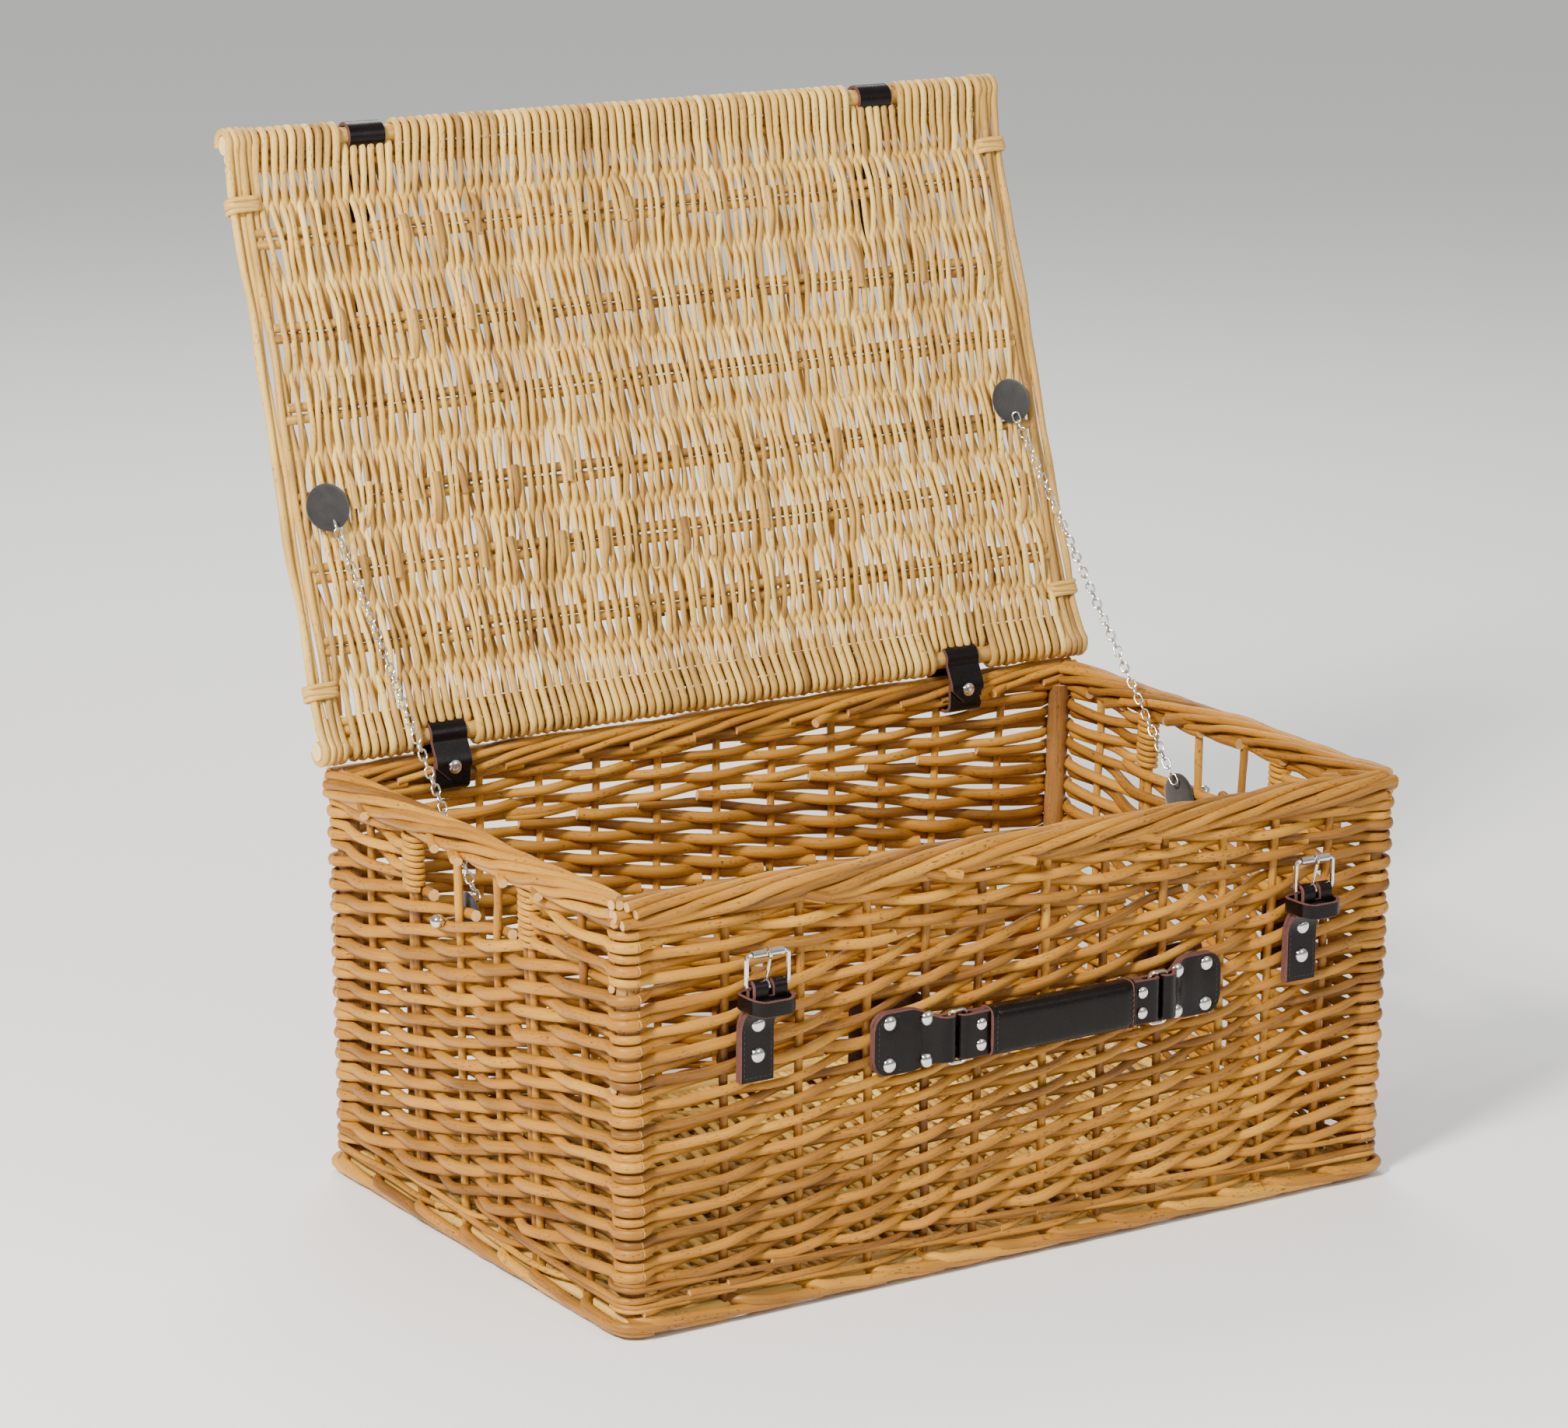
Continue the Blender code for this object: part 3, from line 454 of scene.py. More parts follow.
STAKES, STAKE_WALLS = stake_places()
COUNT = len(STAKES)
GRID_STEP = 0.0052
BAND_SPLIT = 0.147         # height where the lower band of climbing rods ends and the upper one begins
LOWER_ROWS = 18
UPPER_ROWS = 8
LEVEL_ROWS = 5
LEVEL_DROP = 0.003         # the level rows start this far below the hand holes' sills
LEVEL_ROD = 0.0032         # radius of a rod in the level rows
JOIN_OVERLAP = 0.024       # how far two level rods run past each other where they meet
FULLER_OFF_FRONT = 0.15    # the rods are thicker by this share on the walls other than the front
STEEPER = 0.30             # a weaver climbs faster by this share where it passes outside a stake
BAND_HALF = 0.00300        # half the height of a weaver pressed flat round a corner post


def turns(values, count=3):
    """A periodic list of places repeated over a few turns, starting one turn early."""
    return np.concatenate([values + ROUND.total * turn for turn in range(-1, count - 1)])


def sample_grid():
    """Places to sample a weaver at: even steps along the walls and finer ones round the posts."""
    parts = []
    for _, start, length, _, _ in ROUND.runs:
        parts.append(start + np.linspace(0, length, round(length / GRID_STEP) + 1))
        parts.append(start + length + ROUND.quarter * np.array([0.2, 0.35, 0.5, 0.65, 0.8]))
    return turns(np.concatenate(parts), 4)


GRID = sample_grid()
ALL_STAKES = turns(STAKES, 4)
ALL_NUMBERS = np.arange(len(ALL_STAKES)) - COUNT
TILT = np.random.default_rng(3).uniform(-0.004, 0.004, COUNT)
ALL_TILTS = np.tile(TILT, 4)
ALL_POSTS = turns(ROUND.posts(), 4)
HOLE_EDGES = [i for i, wall in enumerate(STAKE_WALLS) if wall in SIDES
              and min(abs(abs(ROUND.at([STAKES[i]])[0][0, 1]) - abs(v)) for v in END_STAKES[1::3]) < 1e-6]


def number_at(s, z):
    """Which stake a place is at, in fractions of the way to the next, allowing for the stakes' tilt."""
    tilt = np.interp(s, ALL_STAKES, ALL_TILTS) * (1 - z / RIM_TOP)
    return np.interp(s - tilt, ALL_STAKES, ALL_NUMBERS)


def place_of(number):
    return np.interp(number, ALL_NUMBERS, ALL_STAKES)


def near(s, places, hold, fade):
    """1 within hold of any of the places, falling smoothly to 0 over fade."""
    gap = np.abs(s[:, None] - places[None]).min(1)
    t = np.clip((gap - hold) / fade, 0, 1)
    return 1 - t * t * (3 - 2 * t)


def between(begin, end):
    """The sample places from one place to another."""
    return np.concatenate([[begin], GRID[(GRID > begin + 0.0012) & (GRID < end - 0.0012)], [end]])


def weave_past(s, phase, size):
    """How far a weaver stands off the walls, and its half height and flatness.

    It passes outside the stakes where phase is even and inside where it is odd. Round the outside of a
    corner post it is pressed into a flat band, and every other band stands a little prouder.
    """
    beside = near(s, ALL_POSTS, 0.006, 0.030)
    turned = near(s, ALL_POSTS, ROUND.quarter / 2 + 0.0006, 0.010)
    out = WEAVE_OUT * np.cos(math.pi * phase) * (1 - 0.4 * beside) - 0.0010 * beside
    prouder = np.sin(math.pi * phase)
    out = out * (1 - turned) + (POST_OUT + 0.0005 * prouder) * turned
    return out, size * (1 - turned) + BAND_HALF * (1 + 0.12 * prouder) * turned, 0.90 - 0.18 * turned


def round_posts(s, out):
    """Bring a rod to the outside wherever it passes a corner post."""
    weight = near(s, ALL_POSTS, ROUND.quarter / 2 + 0.002, 0.017)
    return out * (1 - weight) + POST_OUT * weight, weight


# ---------------------------------------------------------------- walls
def split_by_wall(s):
    """The number of the wall run that the middle of a weaver lies in."""
    s = float(np.mod(s, ROUND.total))
    return [run[0] for run in ROUND.runs if s >= run[1]][-1]


WALL_RODS = {name: Rods(8) for name in ("front", "right", "back", "left")}


def add_by_wall(line, s, radius, tone, squash):
    """Add a weaver in one piece for each wall that it passes."""
    owners = np.array([split_by_wall(v) for v in s])
    starts = [0] + [i for i in range(1, len(s)) if owners[i] != owners[i - 1]] + [len(s)]
    for a, b in zip(starts, starts[1:]):
        b = min(b + 1, len(s))
        if b - a > 2:
            WALL_RODS[owners[a]].add(line[a:b], radius[a:b], Z, tone, squash[a:b], start=s[a])


def rod_tone(rng):
    return float(np.clip(rng.normal(0.5, 0.24), 0, 1))


def add_rand(rows, low_z, high_z, butt, tip, seed):
    """A band of rods woven one from each stake, each climbing to the right by one row at every stake.

    butt and tip are a rod's radii at its two ends. Every other row passes outside the stakes, and all of
    them pass outside the corner posts.
    """
    rise = (high_z - low_z) / rows
    rng = np.random.default_rng(seed)
    for first in range(COUNT):
        begin = first - 0.68 - rng.uniform(0, 0.1)
        last = rows - 1
        end = first + last + (0.34 if last % 2 else 0.66) + rng.uniform(0, 0.06)
        s = between(place_of(begin), place_of(end))
        row = number_at(s, low_z + rise * (number_at(s, low_z) - first)) - first
        climbed = row + STEEPER / math.pi * np.sin(math.pi * row)
        z = low_z + rise * (climbed + 0.5) + 0.0005 * wave(s, 0.11, [seed, first, 1])
        z = np.clip(z, low_z + 0.0015, None)
        size = np.interp(row, [0, rows], [butt, tip]) * rng.normal(1.0, 0.06)
        off_front = np.clip(1 + ROUND.at(s)[1][:, 1], 0, 1)
        size = size * (1 + FULLER_OFF_FRONT * off_front) * (1 + 0.035 * wave(s, 0.07, [seed, first, 2]))
        out, radius, squash = weave_past(s, row, size)
        line = ROUND.line(s, out + 0.0003 * wave(s, 0.05, [seed, first, 3]), z)
        add_by_wall(line, s, radius, rod_tone(rng), squash)


def add_level_rows():
    """The last rows under the border, level, ending at the stakes beside each hand hole."""
    rng = np.random.default_rng(21)
    pitch = (RIM_BOTTOM - HOLE_SILL + 0.005) / LEVEL_ROWS
    right_front, right_back = (i for i in HOLE_EDGES if STAKE_WALLS[i] == "right")
    left_back, left_front = (i for i in HOLE_EDGES if STAKE_WALLS[i] == "left")
    for row in range(LEVEL_ROWS):
        z0 = HOLE_SILL - LEVEL_DROP + pitch * (row + 0.5)
        for a, b in ((left_front - COUNT, right_front), (right_back, left_back)):
            join = (a + b) // 2 + int(rng.integers(-4, 5))
            spans = ((place_of(a), place_of(join) + JOIN_OVERLAP),
                     (place_of(join) - JOIN_OVERLAP, place_of(b)))
            for part, (begin, end) in enumerate(spans):
                s = between(begin, end)
                z = z0 + 0.0007 * wave(s, 0.13, [row, part, a + 40]) + 0.0010 * (part - 0.5)
                size = LEVEL_ROD * (1 + 0.04 * wave(s, 0.08, [row, part, 5]))
                out, radius, squash = weave_past(s, number_at(s, z) + row, size)
                out = out * (1 - near(s, turns(STAKES[HOLE_EDGES], 4), 0.002, 0.014))
                add_by_wall(ROUND.line(s, out, z), s, radius, rod_tone(rng), squash)


def add_hole_wraps(rods):
    """A thin rod wound round the pair of stakes at each edge of the hand holes."""
    pitch, thickness = 0.0038, 0.0017
    low_z, high_z = HOLE_SILL - 0.004, RIM_BOTTOM + 0.001
    coils = (high_z - low_z) / pitch
    angle = np.linspace(0, 2 * math.pi * coils, int(coils * 16))
    c, n = np.cos(angle), np.sin(angle)
    along = (2 * STAKE_RADIUS + 0.8 * thickness) * np.sign(c) * np.abs(c) ** 0.8
    out = (STAKE_RADIUS + thickness + 0.0006) * np.sign(n) * np.abs(n) ** 0.8
    z = low_z + (high_z - low_z) * angle / angle[-1]
    for i in HOLE_EDGES:
        rods.add(ROUND.line(STAKES[i] + along, out, z), thickness, Z, 0.85, squash=0.8)


def make_walls():
    """The woven rods of the four walls, their stakes and the corner posts."""
    add_rand(LOWER_ROWS, UPSETT_TOP + 0.0002, BAND_SPLIT, 0.0032, 0.00275, 1)
    add_rand(UPPER_ROWS, BAND_SPLIT, HOLE_SILL - LEVEL_DROP, 0.0034, 0.0029, 2)
    add_level_rows()
    for wall, rods in WALL_RODS.items():
        rods.make(f"{wall}_wall_weave", "basket", GOLDEN, replaces=[f"{wall}_wall"])
    stakes = Rods(10)
    add_hole_wraps(stakes)
    for i, s in enumerate(STAKES):
        pair = (-0.0026, 0.0026) if i in HOLE_EDGES else (0.0,)
        for shift in pair:
            z = np.linspace(0.0030, RIM_BOTTOM + 0.006, 22)
            where = s + shift + TILT[i] * (1 - z / RIM_TOP) + 0.0006 * wave(z, 0.12, [i, 9])
            radius = STAKE_RADIUS * (1 + 0.05 * wave(z, 0.06, [i, 8]))
            stakes.add(ROUND.line(where, 0.0005 * wave(z, 0.09, [i, 7]), z), radius, X, squash=0.95)
    stakes.make("wall_stakes", "basket", GOLDEN,
                replaces=[f"hand_hole_stake_{side}_{end}" for side in SIDES for end in ("front", "rear")])
    posts = Rods(18)
    for sx in (-1, 1):
        for sy in (-1, 1):
            z = np.linspace(0.0006, RIM_BOTTOM + 0.004, 26)
            lean = 1 - END_LEAN * (1 - z / RIM_TOP)
            line = np.stack([sx * POST[0] * lean, np.full(len(z), sy * POST[1]), z], -1)
            posts.add(line, POST_RADIUS * (1 + 0.02 * wave(z, 0.05, [sx + 2, sy + 2])), X)
    posts.make("corner_posts", "basket", BROWN, "brown_willow",
               [f"corner_post_{end}_{side}" for end in ("front", "back") for side in SIDES])


# ---------------------------------------------------------------- foot
def make_upsett():
    """Four courses of fine rods that pass outside two stakes and inside the third."""
    rods = Rods(8)
    courses, reach = 4, 0.0053
    for course in range(courses):
        z0 = 0.0155 + 0.0040 * course
        for part in range(8):
            begin = ROUND.total * (part + 0.13 * course) / 8
            end = begin + ROUND.total / 8 + 0.035
            s = GRID[(GRID >= begin) & (GRID <= end)]
            number = number_at(s, z0)
            phase = np.mod(number + course, 3)
            gap = np.minimum(phase, 3 - phase)
            inside = np.exp(-(gap / 0.42) ** 2)
            out = reach - 0.0095 * inside
            out, turned = round_posts(s, out)
            climb = 0.0013 * np.sin(2 * math.pi * (number + course) / 3 + 0.6)
            z = z0 + climb + 0.0004 * wave(s, 0.1, [part, course])
            radius = np.linspace(0.00235, 0.0018, len(s))
            rods.add(ROUND.line(s, out + 0.0008 * turned, z), radius, Z, squash=0.95)
    rods.make("upsett_weave", "basket", GOLDEN, replaces=["upsett_band"])


def make_foot():
    """The foot border: each stake's lower end comes out, runs right past two stakes and dives under."""
    rods = Rods(10)
    starts = np.sort(np.concatenate([STAKES, ROUND.posts()]))
    everywhere = turns(starts, 3)
    for i, start in enumerate(starts):
        end = everywhere[len(starts) + i + 2] + 0.010
        s = np.unique(np.concatenate([np.linspace(start - 0.004, end, 26),
                                      GRID[(GRID > start) & (GRID < end)]]))
        s = s[np.concatenate([[True], np.diff(s) > 0.0012])]
        t = (s - start) / (end - start)
        rise = 1 / (1 + np.exp(-(s - start - 0.004) / 0.0022))
        out = -0.002 + 0.0108 * rise - 0.0022 * np.clip(t - 0.75, 0, 1) * 4 * 0.6
        z = 0.0103 - 0.0066 * np.clip(t, 0, 1) ** 0.9 + 0.0004 * wave(s, 0.06, [i, 31])
        radius = np.interp(t, [0, 0.55, 1], [0.0035, 0.0032, 0.0017])
        z = np.maximum(z, radius * 0.95 + 0.0001)
        rods.add(ROUND.line(s, out, z), radius, Z, squash=0.95)
    rods.make("foot_border_strands", "basket", GOLDEN, replaces=["foot_border"])


# ---------------------------------------------------------------- border
def make_border():
    """The rim: each stake is laid down to the right and turned with its neighbours into a rope."""
    for side in ("front", "right", "back", "left"):
        direction = next(run[4] for run in ROUND.runs if run[0] == side)
        outward = np.array([direction[1], -direction[0], 0.0])
        direction = np.array([*direction, 0.0])
        half = RIM_HALF_X if side in ("front", "back") else RIM_HALF_Y - 0.0045
        centre = np.array([0, 0, (RIM_TOP + RIM_BOTTOM) / 2])
        centre = centre + outward * ((RIM_HALF_Y if side in ("front", "back") else RIM_HALF_X) - 0.010)
        rods, strands, spacing = Rods(10), 7, 0.0400
        run = strands * spacing
        rng = np.random.default_rng(len(side))
        first = -half - run + spacing * 0.5
        for i in range(int((2 * half + run) / spacing)):
            begin = first + i * spacing + rng.uniform(-0.006, 0.006)
            u = np.linspace(begin, begin + run * rng.uniform(0.97, 1.06), 64)
            angle = np.radians(-125 + 325 * (u - begin) / run)
            ends = half + rng.uniform(-0.013, 0.0005, 2)
            keep = (u > -ends[0]) & (u < ends[1])
            if keep.sum() < 5:
                continue
            reach = 0.0068 + 0.0005 * wave(u, 0.09, [i, len(side)])
            o = reach * np.sign(np.cos(angle)) * np.abs(np.cos(angle)) ** 0.8
            v = reach * np.sign(np.sin(angle)) * np.abs(np.sin(angle)) ** 0.8
            v = v + 0.0007 * wave(u, 0.21, [len(side), 77])
            radius = np.interp(u, [begin, begin + run], [0.0034, 0.0025]) * rng.normal(1, 0.07)
            line = centre + u[:, None] * direction + o[:, None] * outward + v[:, None] * Z
            rods.add(line[keep], radius[keep], outward, float(np.clip(rng.normal(0.5, 0.22), 0, 1)))
        core = np.linspace(-half + 0.004, half - 0.004, 60)
        rods.add(centre + core[:, None] * direction, 0.0042, outward, 0.3)
        for i in range(9):
            u = rng.uniform(-half + 0.03, half - 0.03)
            way, drop = (1, rng.uniform(-0.0085, -0.0060)) if i % 3 else (-1, rng.uniform(-0.008, -0.004))
            tip = centre + u * direction + way * outward * rng.uniform(0.0095, 0.0118) + Z * drop
            root = tip - way * outward * 0.010 - direction * 0.022 + Z * 0.0045
            bend = (tip + root) / 2 + Z * 0.0012 - direction * 0.003
            ease = np.linspace(0, 1, 7)[:, None]
            line = (1 - ease) ** 2 * root + 2 * ease * (1 - ease) * bend + ease ** 2 * tip
            rods.add(line, 0.0029, Z + 0.1 * outward)
        rods.make(f"rim_border_{side}", "basket", GOLDEN, replaces=[f"rim_rail_{side}"])


# ---------------------------------------------------------------- panels woven on sticks: base and lid
def across_bundles(places, side, reach, hold, fade, d):
    """How far a weaver stands off a panel's middle as it passes over and under its bundles of sticks."""
    at = np.asarray(places)
    out = np.zeros(len(d))
    number = np.interp(d, at, np.arange(len(at)))
    below = np.clip(np.floor(number).astype(int), 0, len(at) - 2)
    gap = at[below + 1] - at[below]
    t = np.clip(((d - at[below]) - hold) / (gap - 2 * hold), 0, 1)
    t = t * t * (3 - 2 * t) * fade + t * (1 - fade)
    sign = np.asarray(side)
    out = reach * (sign[below] * (1 - t) + sign[below + 1] * t)
    return out


BASE_EDGE_RODS = ((-0.0052, 0.0122, 0.0036), (-0.0002, 0.0085, 0.0030))   # out from the wall, height, radius


def make_base():
    """The base: long sticks, weavers that turn round the outer ones, and two rods round its edge."""
    inner = high("base_panel")
    half_x, half_y, mid_z = inner[0] + 0.001, inner[1] - 0.003, 0.0064
    sticks = Rods(10)
    rows = np.linspace(-half_y + 0.006, half_y - 0.006, 8)
    for i, y in enumerate(rows):
        for pair in (-0.0026, 0.0026):
            x = np.linspace(-half_x, half_x, 40)
            line = np.stack([x, y + pair + 0.0006 * wave(x, 0.2, [i, 61]), np.full(40, mid_z)], -1)
            sticks.add(line, 0.0025, Y)
    s = GRID[(GRID >= 0) & (GRID <= ROUND.total + 0.03)]
    for out, z, radius in BASE_EDGE_RODS:
        waved = out + 0.0003 * wave(s, 0.1, [61, int(1e4 * z)])
        sticks.add(ROUND.line(s, waved, np.full(len(s), z)), radius, Z)
    sticks.make("base_sticks", "basket", PALE)
    weavers = Rods(8)
    pitch = 0.0056
    count = int(2 * half_x / pitch)
    for i in range(count):
        x0 = -half_x + pitch * (i + 0.5)
        outer = half_y - 0.0028
        d = np.linspace(-outer + 0.004, outer - 0.004, 62)
        side = [(-1) ** (i + j) for j in range(len(rows))]
        h = across_bundles(rows, side, 0.0041, 0.004, 0.8, d)
        turn = np.radians(np.linspace(0, 180, 7))
        ends = []
        for way, start in ((-1, h[0]), (1, h[-1])):
            sign = np.sign(start)
            loop_y = way * (outer - 0.004 + 0.0058 * np.sin(turn))
            loop_h = sign * 0.0041 * np.cos(turn)
            tail_y, tail_h = way * (outer - 0.004 - np.array([0.006, 0.012])), np.full(2, -sign * 0.0041)
            ends.append((np.concatenate([loop_y[1:], tail_y]), np.concatenate([loop_h[1:], tail_h])))
        y = np.concatenate([ends[0][0][::-1], d, ends[1][0]])
        h = np.concatenate([ends[0][1][::-1], h, ends[1][1]])
        x = x0 + 0.0006 * wave(y, 0.15, [i, 62])
        weavers.add(np.stack([x, y, mid_z + h], -1), 0.0026 * RANDOM.normal(1, 0.05), X, squash=0.72)
    weavers.make("base_weave", "basket", PALE, replaces=["base_panel"])


BUNDLES = (0.0607, 0.105, 0.149, 0.2026, 0.2515, 0.309)
LID_CROSS = 0.0013         # how far the way up and the way down lean across each other between the bundles
LID_PITCH = 0.0061         # between neighbouring turns round the outer sticks
LID_REACH = 0.0045
LID_MARGIN = 0.019         # from an outer stick in to where the weave passes its second and third sticks
STRAP_GAP = {"hinge": 0.0197, "front": 0.0180}
LID_STRAPS = {"hinge": [middle(f"hinge_strap_{s}")[0] for s in SIDES],
              "front": [middle(f"closing_strap_{s}")[0] for s in SIDES]}


def on_lid(x, d, h):
    """Points on the lid: across it, up it from the hinge stick, and out from its middle."""
    x, d, h = (np.asarray(v, float)[..., None] for v in np.broadcast_arrays(x, d, h))
    return np.array([0, *HINGE[1:]]) + x * X + d * LID_UP + h * LID_OUT


def lid_turn(x, end):
    """A weaver's way round the outer stick, or the second one beside a strap, from inside to outside."""
    in_gap = min(abs(x - strap) for strap in LID_STRAPS[end]) < STRAP_GAP[end]
    inset, radius = (0.0100, 0.0049) if in_gap else (0.0, 0.0078)
    turn = np.radians(np.linspace(20, 180, 8))
    depth = np.concatenate([[-0.006, 0.0], radius * np.sin(turn), [-0.006, -0.012, -0.018]]) - inset
    height = np.concatenate([[-radius + 0.0004, -radius], -radius * np.cos(turn),
                             np.linspace(radius, 0.0054, 3)])
    return (LID_DEPTH + depth if end == "front" else -depth), height


def lid_rod(x, number, rods, tone):
    """One rod: up the lid, round the front stick, down again beside itself and round the hinge stick."""
    marks = (LID_MARGIN, *BUNDLES, LID_DEPTH - LID_MARGIN)
    side = [(-1) ** j for j in range(len(marks))]
    up_d = np.linspace(marks[0], marks[-1], 60)
    up_h = across_bundles(marks, side, LID_REACH, 0.0045, 0.45, up_d)
    top_d, top_h = lid_turn(x, "front")
    foot_d, foot_h = lid_turn(x + LID_PITCH / 2, "hinge")
    d = np.concatenate([up_d, top_d, up_d[::-1], foot_d])
    h = np.concatenate([up_h, top_h, -up_h[::-1], foot_h])
    step = np.concatenate([np.zeros(60), np.linspace(0, 0.5, len(top_d)), np.full(60, 0.5),
                           np.linspace(0.5, 1.0, len(foot_d))])
    ease = np.clip(np.minimum(d, LID_DEPTH - d) / 0.05, 0, 1)
    nudge = np.random.default_rng([number, 53]).uniform(-0.0008, 0.0008, 2)
    cross = LID_CROSS * np.cos(math.pi * np.interp(d, marks, range(len(marks)))) * np.cos(2 * math.pi * step)
    wander = 0.0011 * wave(d + 0.5 * step, 0.09, [number, 51])
    sway = ease * (np.interp(step, [0, 0.5], nudge) + cross + wander
                   + 0.0022 * np.sin(2 * math.pi * (d / 0.23 + number * 0.011) + 1.0))
    taper = np.linspace(0.00212, 0.00170, len(d))
    radius = taper[::-1] if number % 3 else taper
    radius = radius * (1 + 0.08 * math.sin(5.1 * number)) + 0.00060 * (1 - ease)
    radius = radius * (1 + 0.05 * wave(d + step, 0.05, [number, 52]))
    rods.add(on_lid(x + step * LID_PITCH + sway, d, h), radius, X, tone, squash=0.82)


def make_lid():
    """The lid's weave, its sticks, its edge rods and the cane that binds them."""
    rng = np.random.default_rng(5)
    half = LID_HALF_X - 0.0185
    count = int(round(2 * half / LID_PITCH))
    weave = {side: Rods(8) for side in SIDES}
    for i in range(count):
        x = -half + 2 * half * (i + 0.25) / count + rng.normal(0, 0.0002)
        lid_rod(x, i, weave["left" if x < 0 else "right"], float(np.clip(rng.normal(0.55, 0.24), 0, 1)))
    edges = Rods(8)
    for sign in (-1, 1):
        for k in range(4):
            x = sign * (LID_HALF_X - 0.0026 - 0.0043 * k)
            d = np.linspace(0.0, LID_DEPTH, 80)
            turn = np.radians(np.linspace(20, 180, 7))
            reach = 0.0080
            top = (LID_DEPTH + reach * np.sin(turn), -reach * np.cos(turn))
            foot = (-reach * np.sin(turn), -reach * np.cos(turn))
            ease = np.clip(np.minimum(d, LID_DEPTH - d) / 0.03, 0, 1)
            h = -reach + (reach - 0.0012 + 0.0022 * (k % 2)) * ease ** 0.6
            full_d = np.concatenate([foot[0][::-1], d, top[0]])
            full_h = np.concatenate([foot[1][::-1], h, top[1]])
            pull = np.clip(np.minimum(full_d, LID_DEPTH - full_d) / 0.04, 0, 1)
            sway = pull * (0.0011 * wave(full_d, 0.17, [k, sign + 2]) - sign * 0.0004 * k)
            radius = 0.0025 + 0.0003 * wave(full_d, 0.1, [k, sign + 5])
            edges.add(on_lid(x + sway, full_d, full_h), radius, X, float(rng.uniform(0.15, 0.6)))
    sticks = Rods(14)
    add_lid_sticks(sticks, rng, half)
    add_lid_butts(weave["left"], rng, half)
    for side in SIDES:
        replaced = ["lid_panel"] if side == "left" else []
        weave[side].make(f"lid_weave_{side}", "lid", PALE, "pale_willow", replaced)
    edges.make("lid_edge_rods", "lid", PALE, "pale_willow", [f"lid_side_rods_{side}" for side in SIDES])
    sticks.make("lid_sticks", "lid", PALE, "pale_willow", ["lid_hinge_stick", "lid_front_stick"])
    make_bindings()


def add_lid_sticks(sticks, rng, half):
    for near_d, inward in ((0.0, 1), (LID_DEPTH, -1)):
        for inset, radius in ((0.0, 0.0059), (0.0094, 0.0030), (0.0154, 0.0028)):
            reach = LID_HALF_X + rng.uniform(-0.003, 0.0005)
            x = np.linspace(-reach, reach, 70)
            d = near_d + inward * inset + 0.0004 * wave(x, 0.25, [int(inset * 1e4), 8])
            sticks.add(on_lid(x, d, np.zeros(70)), radius, LID_UP, 0.30)
    for number, d0 in enumerate(BUNDLES):
        for shift in (-0.0034, 0.0034):
            ends = np.array([-half - 0.004, half + 0.004]) + rng.uniform(-0.003, 0.002, 2)
            x = np.linspace(ends[0], ends[1], 60)
            d = d0 + shift + 0.0006 * wave(x, 0.2, [number, shift > 0])
            sticks.add(on_lid(x, d, np.zeros(60)), 0.0030, LID_UP, float(rng.uniform(0.0, 0.35)))


def add_lid_butts(rods, rng, half):
    """Thick cut butts of rods, each lying over a bundle and ending just past it."""
    for i in range(64):
        bundle = BUNDLES[i % len(BUNDLES)]
        x0 = rng.uniform(-half + 0.01, half - 0.01)
        way, face = rng.choice([-1, 1]), (-1 if i % 3 else 1)
        t = np.linspace(0, 1, 12)
        d = bundle - way * rng.uniform(0.006, 0.009) + way * t * rng.uniform(0.026, 0.036)
        h = face * (0.0060 - 0.0075 * np.clip((t - 0.45) / 0.55, 0, 1) ** 1.5)
        x = x0 + t * rng.uniform(-0.003, 0.003)
        size = np.linspace(0.0026, 0.0019, 12)
        rods.add(on_lid(x, d, h), size, X, float(rng.uniform(0.0, 0.35)), squash=0.85)


def make_bindings():
    """Split cane wound three times round the edge rods, with one crossing turn."""
    for end in ("hinge", "front"):
        for side in SIDES:
            box_low, box_high = low(f"lid_binding_{end}_{side}"), high(f"lid_binding_{end}_{side}")
            centre = (box_low + box_high) / 2
            d0 = float((centre - HINGE) @ LID_UP)
            half_x = (box_high[0] - box_low[0]) / 2 - 0.0012
            cane = Rods(8)
            t = np.linspace(0, 1, 150)
            angle = 2 * math.pi * 3.9 * t + 0.8
            slide = 0.0064 * (2 * t - 1) + np.where(t > 0.76, -(t - 0.76) * 0.045, 0)
            c, s = np.cos(angle), np.sin(angle)
            x = centre[0] + half_x * np.sign(c) * np.abs(c) ** 0.55
            h = 0.0050 * np.sign(s) * np.abs(s) ** 0.75 * (1 + 0.16 * np.where(t > 0.76, 1, 0))
            cane.add(on_lid(x, d0 + slide, h), 0.0016, LID_UP, 0.40, squash=0.6)
            cane.make(f"lid_binding_cane_{end}_{side}", "lid", PALE, "pale_willow",
                      [f"lid_binding_{end}_{side}"])


